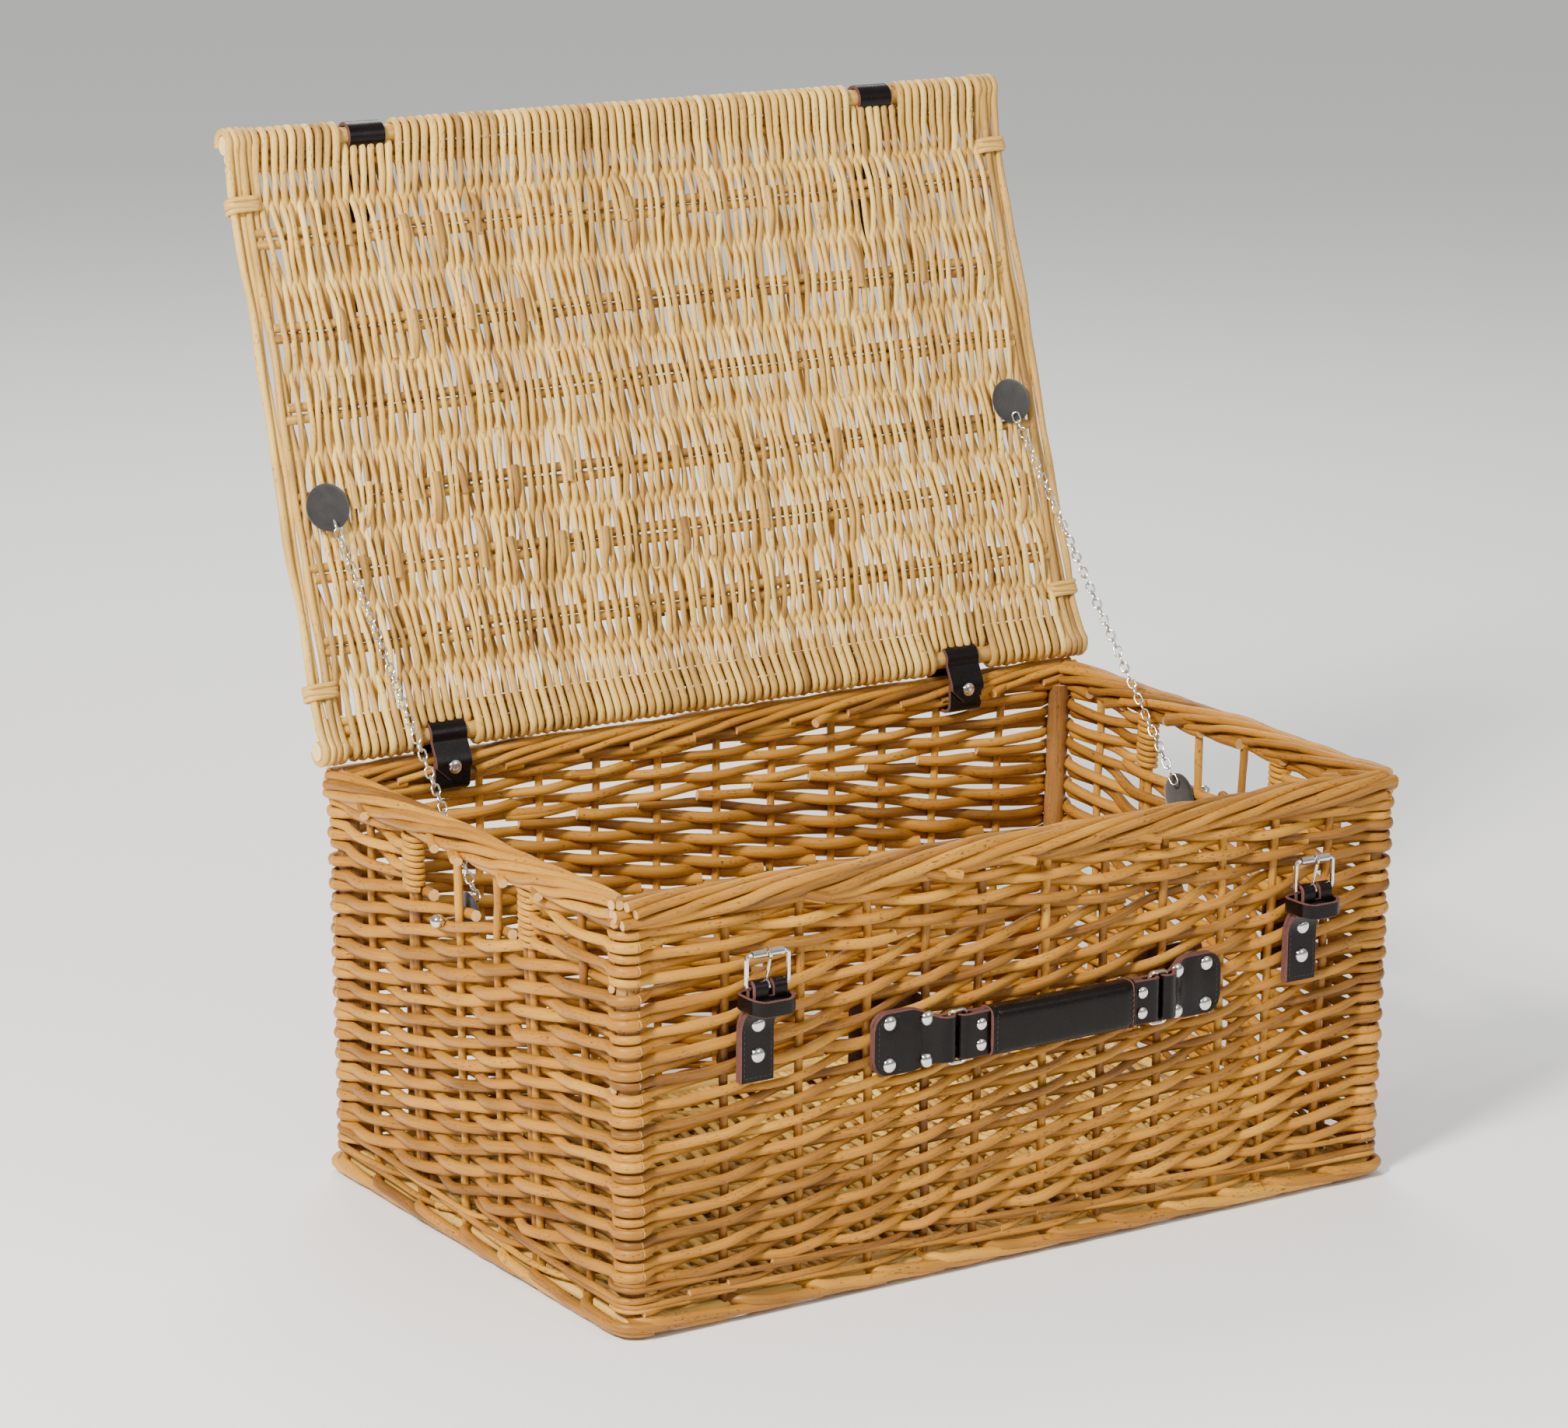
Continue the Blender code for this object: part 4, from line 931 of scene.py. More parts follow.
# ---------------------------------------------------------------- leather
def ribbon(path, across, half_widths, thickness, closed=False, edge=0.0005, columns=2, lift=None):
    """A strip of leather along a path, as a bmesh: material 0 is its two faces and 1 its cut edge.

    lift(point) moves the strip along its normal, for dents and bulges.
    """
    path, across = np.asarray(path, float), np.asarray(across, float)
    n = len(path)
    if closed:
        along = unit(np.roll(path, -1, 0) - np.roll(path, 1, 0))
    else:
        along = unit(np.gradient(path, axis=0))
    normal = unit(np.cross(across, along))
    half = np.broadcast_to(half_widths, n)
    t = thickness / 2
    top = [(a, 0, t) for a in np.linspace(1, -1, columns + 2)]
    top[0], top[-1] = (1, -edge, t), (-1, edge, t)
    bottom = [(a, b, -t) for a, b, _ in reversed(top)]
    outline = [(1, 0, -t + edge), (1, 0, t - edge), *top, (-1, 0, t - edge), (-1, 0, -t + edge), *bottom]
    count, k = len(top), len(outline)
    cut = {0, 1, count + 1, count + 2, count + 3, k - 1}
    bm = bmesh.new()
    rows = []
    for p, w, up in zip(path, half, normal):
        row = []
        for a, b, c in outline:
            spot = p + across * (a * w + b)
            row.append(bm.verts.new(spot + up * (c + (lift(spot) if lift else 0))))
        rows.append(row)
    for i in range(n if closed else n - 1):
        for j in range(k):
            quad = (rows[i][j], rows[i][(j + 1) % k], rows[(i + 1) % n][(j + 1) % k], rows[(i + 1) % n][j])
            bm.faces.new(quad).material_index = 1 if j in cut else 0
    if not closed:
        for row in (rows[0][::-1], rows[-1]):
            bm.faces.new(row).material_index = 1
    bmesh.ops.recalc_face_normals(bm, faces=bm.faces)
    return bm


def plate(outline, origin, u, v, thickness, shape=None, rings=10):
    """A flat piece of leather with a softened edge. shape(u, v) raises or sinks its face."""
    outline = np.asarray(outline, float)
    centre = outline.mean(0)
    normal = np.cross(u, v)
    bm = bmesh.new()
    levels = [(1.0, 0.0), (1.0, thickness - 0.0006), (0.985, thickness - 0.0001), (0.965, thickness)]
    levels += [(k, thickness) for k in np.linspace(0.90, 0.08, rings)]
    rows = []
    for scale, level in levels:
        ring = centre + (outline - centre) * scale
        row = []
        for a, b in ring:
            lift = shape(a, b) * min(1.0, (1 - scale) * 12) if shape and level > 0 else 0.0
            row.append(bm.verts.new(origin + a * u + b * v + (level + lift) * normal))
        rows.append(row)
    k = len(outline)
    for i in range(len(rows) - 1):
        for j in range(k):
            face = bm.faces.new((rows[i][j], rows[i][(j + 1) % k], rows[i + 1][(j + 1) % k], rows[i + 1][j]))
            face.material_index = 1 if i < 2 else 0
    bm.faces.new(rows[0][::-1]).material_index = 1
    bm.faces.new(rows[-1])
    bmesh.ops.recalc_face_normals(bm, faces=bm.faces)
    return bm


def lathe(profile, origin, axis, segments=28):
    """A round piece turned from (radius, height) points about an axis, its profile from base to top."""
    axis = np.asarray(axis, float)
    u = unit(np.cross(axis, Z if abs(axis[2]) < 0.9 else X))
    v = np.cross(axis, u)
    bm = bmesh.new()
    rows = []
    for radius, height in profile:
        if radius == 0:
            rows.append([bm.verts.new(origin + height * axis)])
            continue
        turn = 2 * math.pi * np.arange(segments) / segments
        rows.append([bm.verts.new(origin + height * axis + radius * (math.cos(a) * u + math.sin(a) * v))
                     for a in turn])
    for lower, upper in zip(rows, rows[1:]):
        for j in range(segments):
            corners = [lower[j % len(lower)], lower[(j + 1) % len(lower)], upper[(j + 1) % len(upper)],
                       upper[j % len(upper)]]
            corners = list(dict.fromkeys(corners))
            if len(corners) > 2:
                bm.faces.new(corners)
    if len(rows[0]) > 1:
        bm.faces.new(rows[0][::-1])
    bmesh.ops.recalc_face_normals(bm, faces=bm.faces)
    return bm


def joined(name, parts, sharp=40):
    """Several bmeshes as one mesh, smooth but for edges sharper than an angle."""
    mesh, whole = bpy.data.meshes.new(name), bmesh.new()
    for part in parts:
        part.to_mesh(mesh)
        whole.from_mesh(mesh)
        part.free()
    whole.to_mesh(mesh)
    whole.free()
    mesh.shade_smooth()
    mesh.set_sharp_from_angle(angle=math.radians(sharp))
    return mesh


def rivet(centre, axis, radius, height):
    """A domed rivet head with a small turned lip, standing on a face."""
    curve = [(radius * math.cos(a), 0.0004 + (height - 0.0004) * math.sin(a))
             for a in np.radians(np.linspace(0, 84, 8))]
    profile = [(radius * 0.96, -0.0004), (radius * 1.02, 0.0), *curve, (0, height)]
    return lathe(profile, np.asarray(centre, float), axis)


def stitches(line, normal, length=0.0021, gap=0.0011, radius=0.00026):
    """Short threads sunk in a line of sewing."""
    line = np.asarray(line, float)
    step = np.linalg.norm(np.diff(line, axis=0), axis=1)
    reach = np.concatenate([[0], np.cumsum(step)])
    rods, s = Rods(6), gap
    while s + length < reach[-1]:
        t = np.linspace(s, s + length, 6)
        spot = np.stack([np.interp(t, reach, line[:, a]) for a in range(3)], -1)
        arch = np.sin(np.linspace(0, math.pi, 6))[:, None] * 0.00026
        sides = radius * np.array([0.5, 1, 1, 1, 1, 0.5])
        rods.add(spot + arch * np.asarray(normal) - 0.0001 * np.asarray(normal), sides, normal, 0.5)
        s += length + gap
    return rods


class Sewing(Rods):
    """Stitches gathered from several lines."""

    def take(self, rods):
        for points, corners, sizes, uvs, tones, cuts in zip(rods.points, rods.corners, rods.sizes, rods.uvs,
                                                            rods.tones, rods.cuts):
            base = corners.min()
            self.points.append(points)
            self.corners.append(corners - base + self.count)
            self.sizes.append(sizes)
            self.uvs.append(uvs)
            self.tones.append(tones)
            self.cuts.append(cuts)
            self.count += len(points)


def rounded_corner_path(points, steps=5, radius=0.003):
    """A path with its corners eased into short curves."""
    points = [np.asarray(p, float) for p in points]
    path = [points[0]]
    for before, corner, after in zip(points, points[1:], points[2:]):
        a, b = before - corner, after - corner
        reach = min(radius, np.linalg.norm(a) / 2, np.linalg.norm(b) / 2)
        start, end = corner + unit(a) * reach, corner + unit(b) * reach
        for t in np.linspace(0, 1, steps):
            path.append((1 - t) ** 2 * start + 2 * t * (1 - t) * corner + t ** 2 * end)
    path.append(points[-1])
    return np.array(path)


def arc(centre, radius, start, stop, steps):
    angles = np.radians(np.linspace(start, stop, steps + 1))
    return [(centre[0] + radius * math.cos(a), centre[1] + radius * math.sin(a)) for a in angles]


def finish_leather(name, parts, body, replaces, sharp=40):
    return place(name, joined(name, parts, sharp), body, [HIDE, EDGE], "dark_leather", replaces)


def finish_metal(name, parts, body, slot="steel", replaces=(), sharp=40):
    return place(name, joined(name, parts, sharp), body, [NICKEL], slot, replaces)


def in_yz(points, x, y=0.0, z=0.0):
    return [(x, y + a, z + b) for a, b in points]


THIN, THICK = 0.0024, 0.0028
WALL_FACE = -0.1743        # where leather lies against the front wall's weave


def make_hinge_straps():
    stick = 0.0060
    for side in SIDES:
        box_low, box_high = low(f"hinge_strap_{side}"), high(f"hinge_strap_{side}")
        x, half = (box_low[0] + box_high[0]) / 2, (box_high[0] - box_low[0]) / 2
        turn = stick + 0.0017
        rail_in, rail_out = RIM_HALF_Y - 0.020, RIM_HALF_Y
        tongue = rail_in - 0.0054
        under = tongue + THIN + 0.0002
        base_z = RIM_BOTTOM - 0.0021
        path = [(tongue, HINGE[2] - 0.0262), (tongue, HINGE[2] - 0.0150),
                *arc(HINGE[1:], turn, 200, -10, 16), (rail_out + 0.0022, RIM_TOP),
                (rail_out + 0.0022, base_z + 0.003), (rail_out - 0.002, base_z), (under + 0.004, base_z),
                (under + 0.0002, base_z + 0.0022), (under, HINGE[2] - 0.0140)]
        path = rounded_corner_path([np.array(p) for p in path], 4, 0.003)
        reach = np.concatenate([[0], np.cumsum(np.linalg.norm(np.diff(path, axis=0), axis=1))])
        tip = np.clip(reach / 0.0085, 0, 1)
        widths = half * (0.25 + 0.75 * np.sqrt(1 - (1 - tip) ** 2))
        line = np.array([(x, y, z) for y, z in path])
        rows = densify(line, widths)
        finish_leather(f"hinge_strap_leather_{side}", [ribbon(rows[0], X, rows[1], THIN)], "basket",
                       [f"hinge_strap_{side}"])
        spot = np.array([x, tongue - THIN / 2, HINGE[2] - 0.0180])
        finish_metal(f"hinge_strap_rivet_{side}", [rivet(spot, -Y, 0.0044, 0.0021)], "basket")


def densify(line, widths, step=0.0016):
    """The same path with more points, and its half widths there."""
    reach = np.concatenate([[0], np.cumsum(np.linalg.norm(np.diff(line, axis=0), axis=1))])
    s = np.linspace(0, reach[-1], max(4, int(reach[-1] / step)))
    return np.stack([np.interp(s, reach, line[:, a]) for a in range(3)], -1), np.interp(s, reach, widths)


def make_closing_straps():
    """The straps looped round the lid's front stick, with their rivets, eyelets and sewing."""
    for side in SIDES:
        joint = JOINTS[f"closing_strap_swing_{side}"]
        x, y0, z0 = joint["pos_m"]
        box_low, box_high = low(f"closing_strap_{side}"), high(f"closing_strap_{side}")
        half = (box_high[0] - box_low[0]) / 2
        turn = 0.0060 + 0.0017
        lap = turn - THIN - 0.0003
        tail = box_low[2] - z0
        path = [(turn, tail), (turn, -0.02), *arc((0, 0), turn, 0, 200, 16), (-0.0030, -0.0086),
                (0.0030, -0.0105), (lap, -0.0165), (lap, -0.0365)]
        path = rounded_corner_path([np.array(p) for p in path], 4, 0.003)
        line = np.array([(x, y0 + a, z0 + b) for a, b in path])
        reach = np.concatenate([[0], np.cumsum(np.linalg.norm(np.diff(line, axis=0), axis=1))])
        tip = np.clip(reach / 0.0120, 0, 1)
        widths = half * (0.22 + 0.78 * np.sqrt(1 - (1 - tip) ** 2))
        rows = densify(line, widths)
        parts = [ribbon(rows[0], X, rows[1], THIN)]
        finish_leather(f"closing_strap_leather_{side}", parts, f"closing_strap_{side}",
                       [f"closing_strap_{side}"])
        metal = [rivet((x, y0 + turn + THIN / 2, z0 - 0.027), Y, 0.0040, 0.0016),
                 rivet((x, y0 + lap - THIN / 2, z0 - 0.027), -Y, 0.0040, 0.0016)]
        for k in range(5):
            spot = (x, y0 + turn + THIN / 2, z0 + tail + 0.020 + 0.011 * k)
            metal.append(lathe([(0.0014, -0.0002), (0.0021, 0.0), (0.0021, 0.0003), (0.0013, 0.00035),
                                (0.0012, -0.0001), (0, -0.0001)], np.array(spot), Y, 16))
        finish_metal(f"closing_strap_rivets_{side}", metal, f"closing_strap_{side}")
        thread_rods = Sewing(6)
        for way in (-1, 1):
            edge = [(x + way * (half - 0.003), y0 + turn + THIN / 2, z0 + tail + 0.013),
                    (x + way * (half - 0.003), y0 + turn + THIN / 2, z0 - 0.006)]
            thread_rods.take(stitches(edge, Y))
        place(f"closing_strap_thread_{side}", thread_rods.mesh(f"closing_thread_{side}"),
              f"closing_strap_{side}", [THREAD], "dark_leather")


def make_buckle_straps():
    """The folded strap, its keeper and rivets, and the lining pieces inside the wall."""
    for side in SIDES:
        x, bar_y, bar_z = JOINTS[f"buckle_tilt_{side}"]["pos_m"]
        fold = 0.0013 + 0.0004 + THICK / 2
        back = WALL_FACE - THICK / 2 - bar_y
        front = back - THICK - 0.0001
        foot = low(f"buckle_strap_{side}")[2] - bar_z
        half = (high(f"buckle_strap_{side}")[0] - low(f"buckle_strap_{side}")[0]) / 2
        path = [(front, foot), (front, -0.0260), (front - 0.0030, -0.0190), (-fold - 0.0002, -0.0085),
                *arc((0, 0), fold, 180, 0, 12), (fold + 0.0002, -0.0075), (back - 0.0035, -0.0180),
                (back, -0.0250), (back, foot)]
        path = rounded_corner_path([np.array(p) for p in path], 4, 0.004)
        line = np.array(in_yz(path, x, bar_y, bar_z))
        rows = densify(line, np.full(len(line), half))
        parts = [ribbon(rows[0], X, rows[1], THICK)]
        obj = finish_leather(f"buckle_strap_leather_{side}", parts, "basket", [f"buckle_strap_{side}"])
        cut_slit(obj, (x, bar_y, bar_z + 0.0012), (0.0040, 0.0140, 0.0120))
        face = bar_y + front - THICK / 2
        heads = [rivet((x, face, bar_z + z), -Y, 0.0045, 0.0026) for z in (-0.0250, -0.0430)]
        finish_metal(f"buckle_strap_rivets_{side}", heads, "basket")
        sewing = Sewing(6)
        edge = half - 0.0022
        corner = [(x - edge, face, bar_z - 0.020), (x - edge, face, bar_z + foot + 0.0026),
                  (x + edge, face, bar_z + foot + 0.0026), (x + edge, face, bar_z - 0.020)]
        sewing.take(stitches(corner, -Y))
        place(f"buckle_strap_thread_{side}", sewing.mesh(f"buckle_thread_{side}"), "basket", [THREAD],
              "dark_leather")
        make_keeper(side)
        for node in (f"buckle_backing_{side}", f"handle_backing_{side}"):
            make_backing(node)


def make_keeper(side):
    """The loop of leather below a buckle, whose front sags a little between its corners."""
    node = f"buckle_keeper_{side}"
    box_low, box_high = low(node), high(node)
    half_u, half_v = (box_high[0] - box_low[0]) / 2 - 0.0012, (box_high[1] - box_low[1]) / 2 - 0.0012
    corner = 0.0062
    centre = (box_low + box_high) / 2
    loop = []
    for turn, (su, sv) in enumerate(((1, 1), (-1, 1), (-1, -1), (1, -1))):
        spot = (centre[0] + su * (half_u - corner), centre[1] + sv * (half_v - corner))
        loop += arc(spot, corner, 90 * turn, 90 * turn + 90, 8)
    sag = [0.0018 * math.cos(math.pi * (px - centre[0]) / half_u / 2) for px, _ in loop]
    path = np.array([(px, py, centre[2] - (s if py < centre[1] else 0)) for (px, py), s in zip(loop, sag)])
    keeper = ribbon(path, Z, 0.0046, 0.0022, closed=True)
    finish_leather(f"buckle_keeper_leather_{side}", [keeper], "basket", [node])


def make_backing(node):
    box_low, box_high = low(node), high(node)
    half_u, half_v = (box_high[0] - box_low[0]) / 2, (box_high[2] - box_low[2]) / 2
    loop = []
    for turn, (su, sv) in enumerate(((1, 1), (-1, 1), (-1, -1), (1, -1))):
        loop += arc((su * (half_u - 0.005), sv * (half_v - 0.005)), 0.005, 90 * turn, 90 * turn + 90, 5)
    outline = [(-a, b) for a, b in loop][::-1]
    centre = (box_low + box_high) / 2
    origin = np.array([centre[0], box_low[1], centre[2]])
    finish_leather(f"{node}_leather", [plate(outline, origin, -X, Z, THIN)], "basket", [node])


def cut_slit(obj, centre, size):
    """Cut the slit that a buckle's prong passes through in the fold of its strap."""
    bm = bmesh.new()
    bmesh.ops.create_cube(bm, size=1)
    bmesh.ops.scale(bm, verts=bm.verts, vec=size)
    bmesh.ops.translate(bm, verts=bm.verts, vec=centre)
    mesh = bpy.data.meshes.new("slit")
    bm.to_mesh(mesh)
    bm.free()
    mesh.materials.append(HIDE)
    mesh.materials.append(EDGE)
    for polygon in mesh.polygons:
        polygon.material_index = 1
    cutter = bpy.data.objects.new("slit", mesh)
    bpy.context.scene.collection.objects.link(cutter)
    step = obj.modifiers.new("slit", "BOOLEAN")
    step.operation, step.solver, step.object = "DIFFERENCE", "EXACT", cutter
    bpy.context.view_layer.update()
    made = bpy.data.meshes.new_from_object(obj.evaluated_get(bpy.context.evaluated_depsgraph_get()))
    obj.modifiers.remove(step)
    obj.data = made
    bpy.data.objects.remove(cutter)


# ---------------------------------------------------------------- carrying handle
PAD_HALF, PAD_NECK, PAD_CORNER, PAD_TAPER = 0.0188, 0.0137, 0.0095, 0.025
PAD_RIVETS = (0.0105, 0.0345, 0.0125)      # the two distances in from the outer end, and up or down


def make_handle():
    centre = middle("handle_grip")
    heads, grip_heads, sewing, grip_sewing = [], [], Sewing(6), Sewing(6)
    bar_y = JOINTS["ring_swing_left"]["pos_m"][1]
    for side, sign in SIDES.items():
        make_pad(side, sign, bar_y, centre[2], heads, sewing)
        add_grip_tab(side, sign, centre, bar_y, grip_heads, grip_sewing)
    finish_metal("handle_pad_rivets", heads, "basket")
    place("handle_pad_thread", sewing.mesh("handle_pad_thread"), "basket", [THREAD], "dark_leather")
    make_grip(centre)
    finish_metal("handle_grip_rivets", grip_heads, "grip")
    place("handle_grip_thread", grip_sewing.mesh("handle_grip_thread"), "grip", [THREAD], "dark_leather")


def pad_width(reach, length):
    """Half a pad's height at a distance in from its rounded outer end."""
    into = np.clip(reach, 0, PAD_CORNER)
    end = PAD_HALF - PAD_CORNER + np.sqrt(PAD_CORNER ** 2 - (PAD_CORNER - into) ** 2)
    t = np.clip((reach - PAD_TAPER) / (length - 0.003 - PAD_TAPER), 0, 1)
    return end - (PAD_HALF - PAD_NECK) * (3 * t * t - 2 * t ** 3)


def make_pad(side, sign, bar_y, z0, heads, sewing):
    """A handle pad: one strip laid on the wall, folded round the ring's outer bar and back under itself."""
    pad_low, pad_high = low(f"handle_pad_{side}"), high(f"handle_pad_{side}")
    bar_x = JOINTS[f"ring_swing_{side}"]["pos_m"][0]
    length = abs((pad_high[0] if sign > 0 else pad_low[0]) - bar_x)
    fold, front, back = 0.0018 + THICK / 2, WALL_FACE - 1.5 * THICK - 0.0001, WALL_FACE - THICK / 2
    path = [(length, front), (0.0170, front), (0.0090, front - 0.0045), (0.0040, bar_y - fold + 0.0008),
            *arc((0, bar_y), fold, 270, 90, 12), (0.0060, bar_y + fold + 0.0010), (0.0150, back - 0.0020),
            (0.0230, back), (length - 0.0006, back)]
    path = rounded_corner_path([np.array(p) for p in path], 4, 0.005)
    line = np.array([(bar_x + sign * u, y, z0) for u, y in path])
    line, _ = densify(line, np.zeros(len(line)), 0.0011)
    reach = length - np.clip(sign * (line[:, 0] - bar_x), 0, length)
    near_in, far_in, up = PAD_RIVETS
    spots = [(r, z) for r in (near_in, far_in) for z in (-up, up)]

    def lift(spot):
        """Leather drawn down round its rivets and plump between them, on the front only."""
        r, z = length - sign * (spot[0] - bar_x), spot[2] - z0
        if spot[1] > front + THICK / 2 or r > length - 0.014:
            return 0.0
        sink = sum(math.exp(-((r - a) ** 2 + (z - b) ** 2) / 0.0060 ** 2) for a, b in spots)
        bulge = math.exp(-((r - 0.0245) / 0.009) ** 2) * math.cos(math.pi * z / 2 / PAD_HALF)
        return face_way * (0.0011 * bulge + 0.0003 - 0.0009 * min(sink, 1.0))

    face_way = 1 if np.cross(Z, line[1] - line[0])[1] < 0 else -1
    strip = ribbon(line, Z, pad_width(reach, length), THICK, columns=16, lift=lift)
    finish_leather(f"handle_pad_leather_{side}", [strip], "basket", [f"handle_pad_{side}"])
    for r, z in spots:
        face = float(np.interp(length - r, [0.0040, 0.0090, 0.0170], [bar_y - fold, front - 0.0045, front]))
        spot = (bar_x + sign * (length - r), face - THICK / 2 + 0.0006, z0 + z)
        heads.append(rivet(spot, -Y, 0.0045, 0.0027))
    r = np.concatenate([np.linspace(length - 0.026, 0.0029, 24), np.linspace(0.0029, length - 0.026, 24)])
    inner = pad_width(r - 0.0029 + 0.0012, length) - 0.0026
    inner[:24] *= -1
    face = front - THICK / 2 - 0.0002
    sewn = np.stack([bar_x + sign * (length - r), np.full(48, face), z0 + inner], -1)
    sewing.take(stitches(sewn, -Y))


def add_grip_tab(side, sign, centre, bar_y, heads, sewing):
    """The flat tab at an end of the grip, folded round the ring's inner bar and riveted."""
    x0, z0 = centre[0], centre[2]
    bar = 0.0655
    fold = 0.0014 + 0.0005 + THICK / 2
    reach = bar + 0.0015
    path = [(0.0460, -fold * 0.75), (0.0560, -fold * 0.85), (bar - 0.001, -fold),
            *arc((reach, 0), fold, -90, 90, 12),
            (bar - 0.001, fold), (0.0560, fold * 0.85), (0.0460, fold * 0.75)]
    path = [(x0 + sign * a, bar_y + b, z0) for a, b in path]
    rows = densify(np.array(path), np.full(len(path), 0.0134), 0.0012)
    parts = [ribbon(rows[0], Z, rows[1], THICK)]
    core = np.array([(x0 + sign * a, bar_y, z0) for a in np.linspace(0.044, 0.0605, 8)])
    parts.append(ribbon(core, Z, 0.0128, 0.0036, edge=0.0003))
    finish_leather(f"handle_grip_tab_{side}", parts, "grip", [])
    face = bar_y - fold * 0.86 - THICK / 2
    heads.extend(rivet((x0 + sign * 0.0574, face, z0 + dz), -Y, 0.0037, 0.0021) for dz in (-0.0062, 0.0062))
    seam = [(x0 + sign * 0.0482, bar_y - 0.0074, z0 + dz) for dz in (-0.0115, 0.0115)]
    sewing.take(stitches(seam, -Y))


def make_grip(centre):
    """The stuffed grip: a plump rounded bar, pinched a little where its ends are sewn."""
    size = high("handle_grip") - low("handle_grip")
    half_length, steps, around = 0.0505, 46, 40
    x0, z0 = centre[0], centre[2]
    y0 = JOINTS["ring_swing_left"]["pos_m"][1]
    half_h, half_t = size[2] / 2, 0.0075
    bm = bmesh.new()
    rows = []
    for u in np.linspace(-1, 1, steps):
        edge = max(0.0, (abs(u) - 0.93) / 0.07)
        pinch = 1 - 0.045 * math.exp(-((abs(u) - 0.955) / 0.02) ** 2) - 0.35 * edge ** 3
        row = []
        for a in 2 * math.pi * np.arange(around) / around:
            c, s = math.cos(a), math.sin(a)
            y = half_t * math.copysign(abs(c) ** 0.62, c) * pinch * (1 + 0.02 * math.cos(2 * u))
            z = half_h * math.copysign(abs(s) ** 0.42, s) * (1 - 0.08 * edge ** 3)
            row.append(bm.verts.new((x0 + u * half_length, y0 + y, z0 + z)))
        rows.append(row)
    for first, second in zip(rows, rows[1:]):
        for j in range(around):
            bm.faces.new((first[j], first[(j + 1) % around], second[(j + 1) % around], second[j]))
    for row in (rows[0][::-1], rows[-1]):
        bm.faces.new(row).material_index = 1
    bmesh.ops.recalc_face_normals(bm, faces=bm.faces)
    lip = []
    for sign in (-1, 1):
        x = x0 + sign * (half_length - 0.0002)
        loop = [(x, y0 + 0.0064 * math.copysign(abs(math.cos(a)) ** 0.6, math.cos(a)),
                 z0 + (half_h - 0.0004) * math.copysign(abs(math.sin(a)) ** 0.42, math.sin(a)))
                for a in 2 * math.pi * np.arange(40) / 40]
        lip.append(ribbon(loop, X, 0.0009, 0.0016, closed=True, edge=0.0003))
    grip = finish_leather("handle_grip_leather", [bm], "grip", ["handle_grip"], 60)
    finish_leather("handle_grip_edges", lip, "grip", [], 60)


# ---------------------------------------------------------------- stay chains
def make_stays():
    for side, sign in SIDES.items():
        discs = ((f"lid_disc_{side}", "lid", -LID_OUT), (f"wall_disc_{side}", "basket", -sign * X))
        for node, body, axis in discs:
            spot = middle(node)
            profile = [(0.0136, -0.0011), (0.0145, -0.0004), (0.0146, 0.0003), (0.0140, 0.0010),
                       (0.0120, 0.0014), (0.008, 0.0017), (0.004, 0.0018), (0, 0.0018)]
            mesh = joined(f"{node}_suede", [lathe(profile, spot, axis, 40)])
            place(f"{node}_suede", mesh, body, [SUEDE], "suede", [node])
        make_chain(side, sign)
        stud = middle(f"chain_stud_{side}")
        outer = high(f"chain_stud_{side}")[0] if sign > 0 else low(f"chain_stud_{side}")[0]
        ball = [(0.0043 * math.cos(a), 0.0043 * math.sin(a)) for a in np.radians(np.linspace(-70, 84, 12))]
        profile = [(0.0012, -0.012), (0.0012, -0.0041), *ball, (0, 0.0043)]
        spot = np.array([outer - sign * 0.0043, stud[1], stud[2]])
        finish_metal(f"chain_stud_ball_{side}", [lathe(profile, spot, sign * X)], "basket",
                     replaces=[f"chain_stud_{side}"])


def make_chain(side, sign):
    """Oval wire links from the lid's disc to the wall's, each a quarter turn from the last."""
    node = f"stay_chain_{side}"
    points = np.array([v.co for v in frame["nodes"][node].data.vertices])
    axis = unit(middle(f"lid_disc_{side}") - middle(f"wall_disc_{side}"))
    reach = points @ axis
    ends = [points[reach < reach.min() + 0.004].mean(0), points[reach > reach.max() - 0.004].mean(0)]
    start, end = ends
    axis = unit(end - start)
    start, end = start - axis * 0.004, end + axis * 0.004
    length = np.linalg.norm(end - start)
    pitch, wire = 0.0059, 0.00062
    count = int(round(length / pitch))
    pitch = length / count
    one = unit(np.cross(axis, X))
    two = np.cross(axis, one)
    rods, rng = Rods(8), np.random.default_rng(4 + sign)
    for i in range(count):
        centre = start + axis * pitch * (i + 0.5)
        twist = math.radians(45 + 90 * (i % 2) + rng.uniform(-9, 9))
        broad = math.cos(twist) * one + math.sin(twist) * two
        loop = [(0.0013 * (1 if math.cos(a) > 0 else -1) + 0.0023 * math.cos(a), 0.0023 * math.sin(a))
                for a in 2 * math.pi * (np.arange(24) + 0.5) / 24]
        line = [centre + u * axis + v * broad for u, v in loop]
        rods.add(line, wire, np.cross(axis, broad), 0.5, closed=True)
    chain = place(f"stay_chain_links_{side}", rods.mesh(f"stay_chain_links_{side}"), None, [NICKEL], "steel")
    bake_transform(chain)
    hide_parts(node)


# ---------------------------------------------------------------- buckles and rings keep their CAD shape
def finish_fittings():
    for side in SIDES:
        for node in (f"buckle_frame_{side}", f"buckle_roller_{side}", f"buckle_prong_{side}",
                     f"handle_ring_{side}"):
            obj = frame["nodes"][node]
            obj.data.materials.clear()
            obj.data.materials.append(NICKEL)


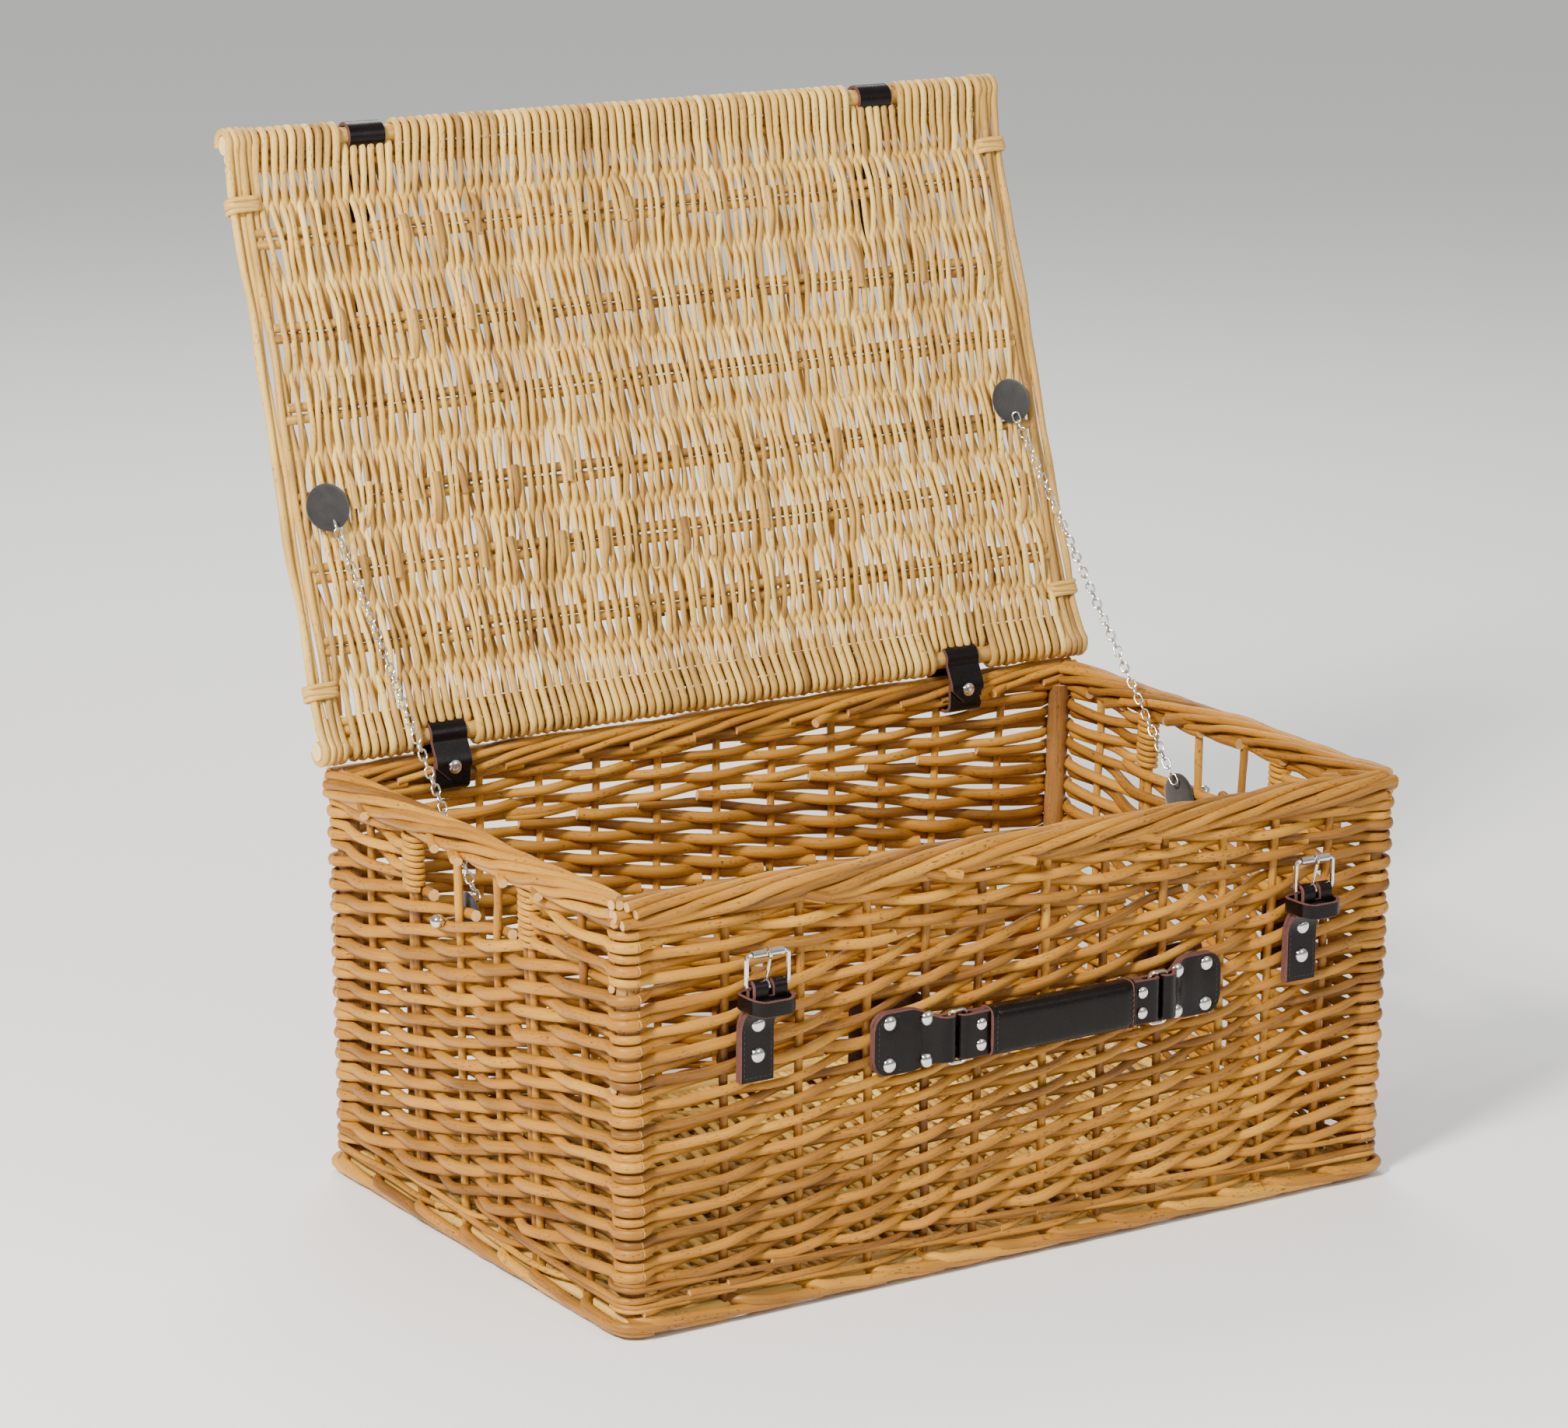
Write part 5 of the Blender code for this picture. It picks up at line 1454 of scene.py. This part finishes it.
# ---------------------------------------------------------------- studio
def make_studio():
    bm = bmesh.new()
    bmesh.ops.create_grid(bm, x_segments=1, y_segments=1, size=25)
    mesh = bpy.data.meshes.new("floor")
    bm.to_mesh(mesh)
    bm.free()
    floor = bpy.data.objects.new("floor", mesh)
    bpy.context.scene.collection.objects.link(floor)
    n = Nodes("pale_floor")
    n.set(base_color=(0.95, 0.95, 0.94, 1), roughness=0.8)
    mesh.materials.append(n.material)
    world = bpy.data.worlds.new("studio")
    bpy.context.scene.world = world
    world.use_nodes = True
    tree = world.node_tree
    ramp = tree.nodes.new("ShaderNodeValToRGB")
    for element, (height, value) in zip(ramp.color_ramp.elements, ((0.02, 0.55), (0.85, 1.0))):
        element.position, element.color = height, (value, value, value, 1)
    split = tree.nodes.new("ShaderNodeSeparateXYZ")
    tree.links.new(tree.nodes.new("ShaderNodeTexCoord").outputs["Generated"], split.inputs[0])
    tree.links.new(split.outputs["Z"], ramp.inputs[0])
    tree.links.new(ramp.outputs[0], tree.nodes["Background"].inputs["Color"])
    tree.nodes["Background"].inputs["Strength"].default_value = 0.62
    lamp("key", (-2.3, -1.0, 2.1), (0, 0, 0.2), 0.7, 190, (1.0, 0.95, 0.88))
    lamp("fill", (0.9, -2.6, 1.7), (0, 0, 0.2), 1.6, 22, (1.0, 1.0, 1.0))
    lamp("back", (0.9, 1.9, 2.4), (0, 0, 0.3), 1.6, 50, (1.0, 1.0, 1.0))


def lamp(name, where, target, size, watts, colour):
    light = bpy.data.lights.new(name, "AREA")
    light.shape, light.size, light.energy, light.color = "DISK", size, watts, colour
    obj = bpy.data.objects.new(name, light)
    obj.location = where
    obj.rotation_euler = (Vector(target) - Vector(where)).to_track_quat("-Z", "Y").to_euler()
    bpy.context.scene.collection.objects.link(obj)


def make_camera():
    """A long lens in front and to the left, a little above the rim."""
    data = bpy.data.cameras.new("camera")
    data.sensor_width, data.lens = 36.0, 115.37
    data.clip_start, data.clip_end = 0.1, 50
    camera = bpy.data.objects.new("camera", data)
    right = Vector((0.83804, -0.54555, 0.00857)).normalized()
    forward = Vector((0.53085, 0.81164, -0.24380)).normalized()
    up = right.cross(forward).normalized()
    right = forward.cross(up)
    turn = Matrix((right, up, -forward)).transposed().to_4x4()
    camera.matrix_world = Matrix.Translation((-1.64089, -2.42206, 1.02449)) @ turn
    bpy.context.scene.collection.objects.link(camera)
    bpy.context.scene.camera = camera


make_walls()
make_upsett()
make_foot()
make_border()
make_base()
make_lid()
make_hinge_straps()
make_closing_straps()
make_buckle_straps()
make_handle()
make_stays()
finish_fittings()
make_studio()
make_camera()
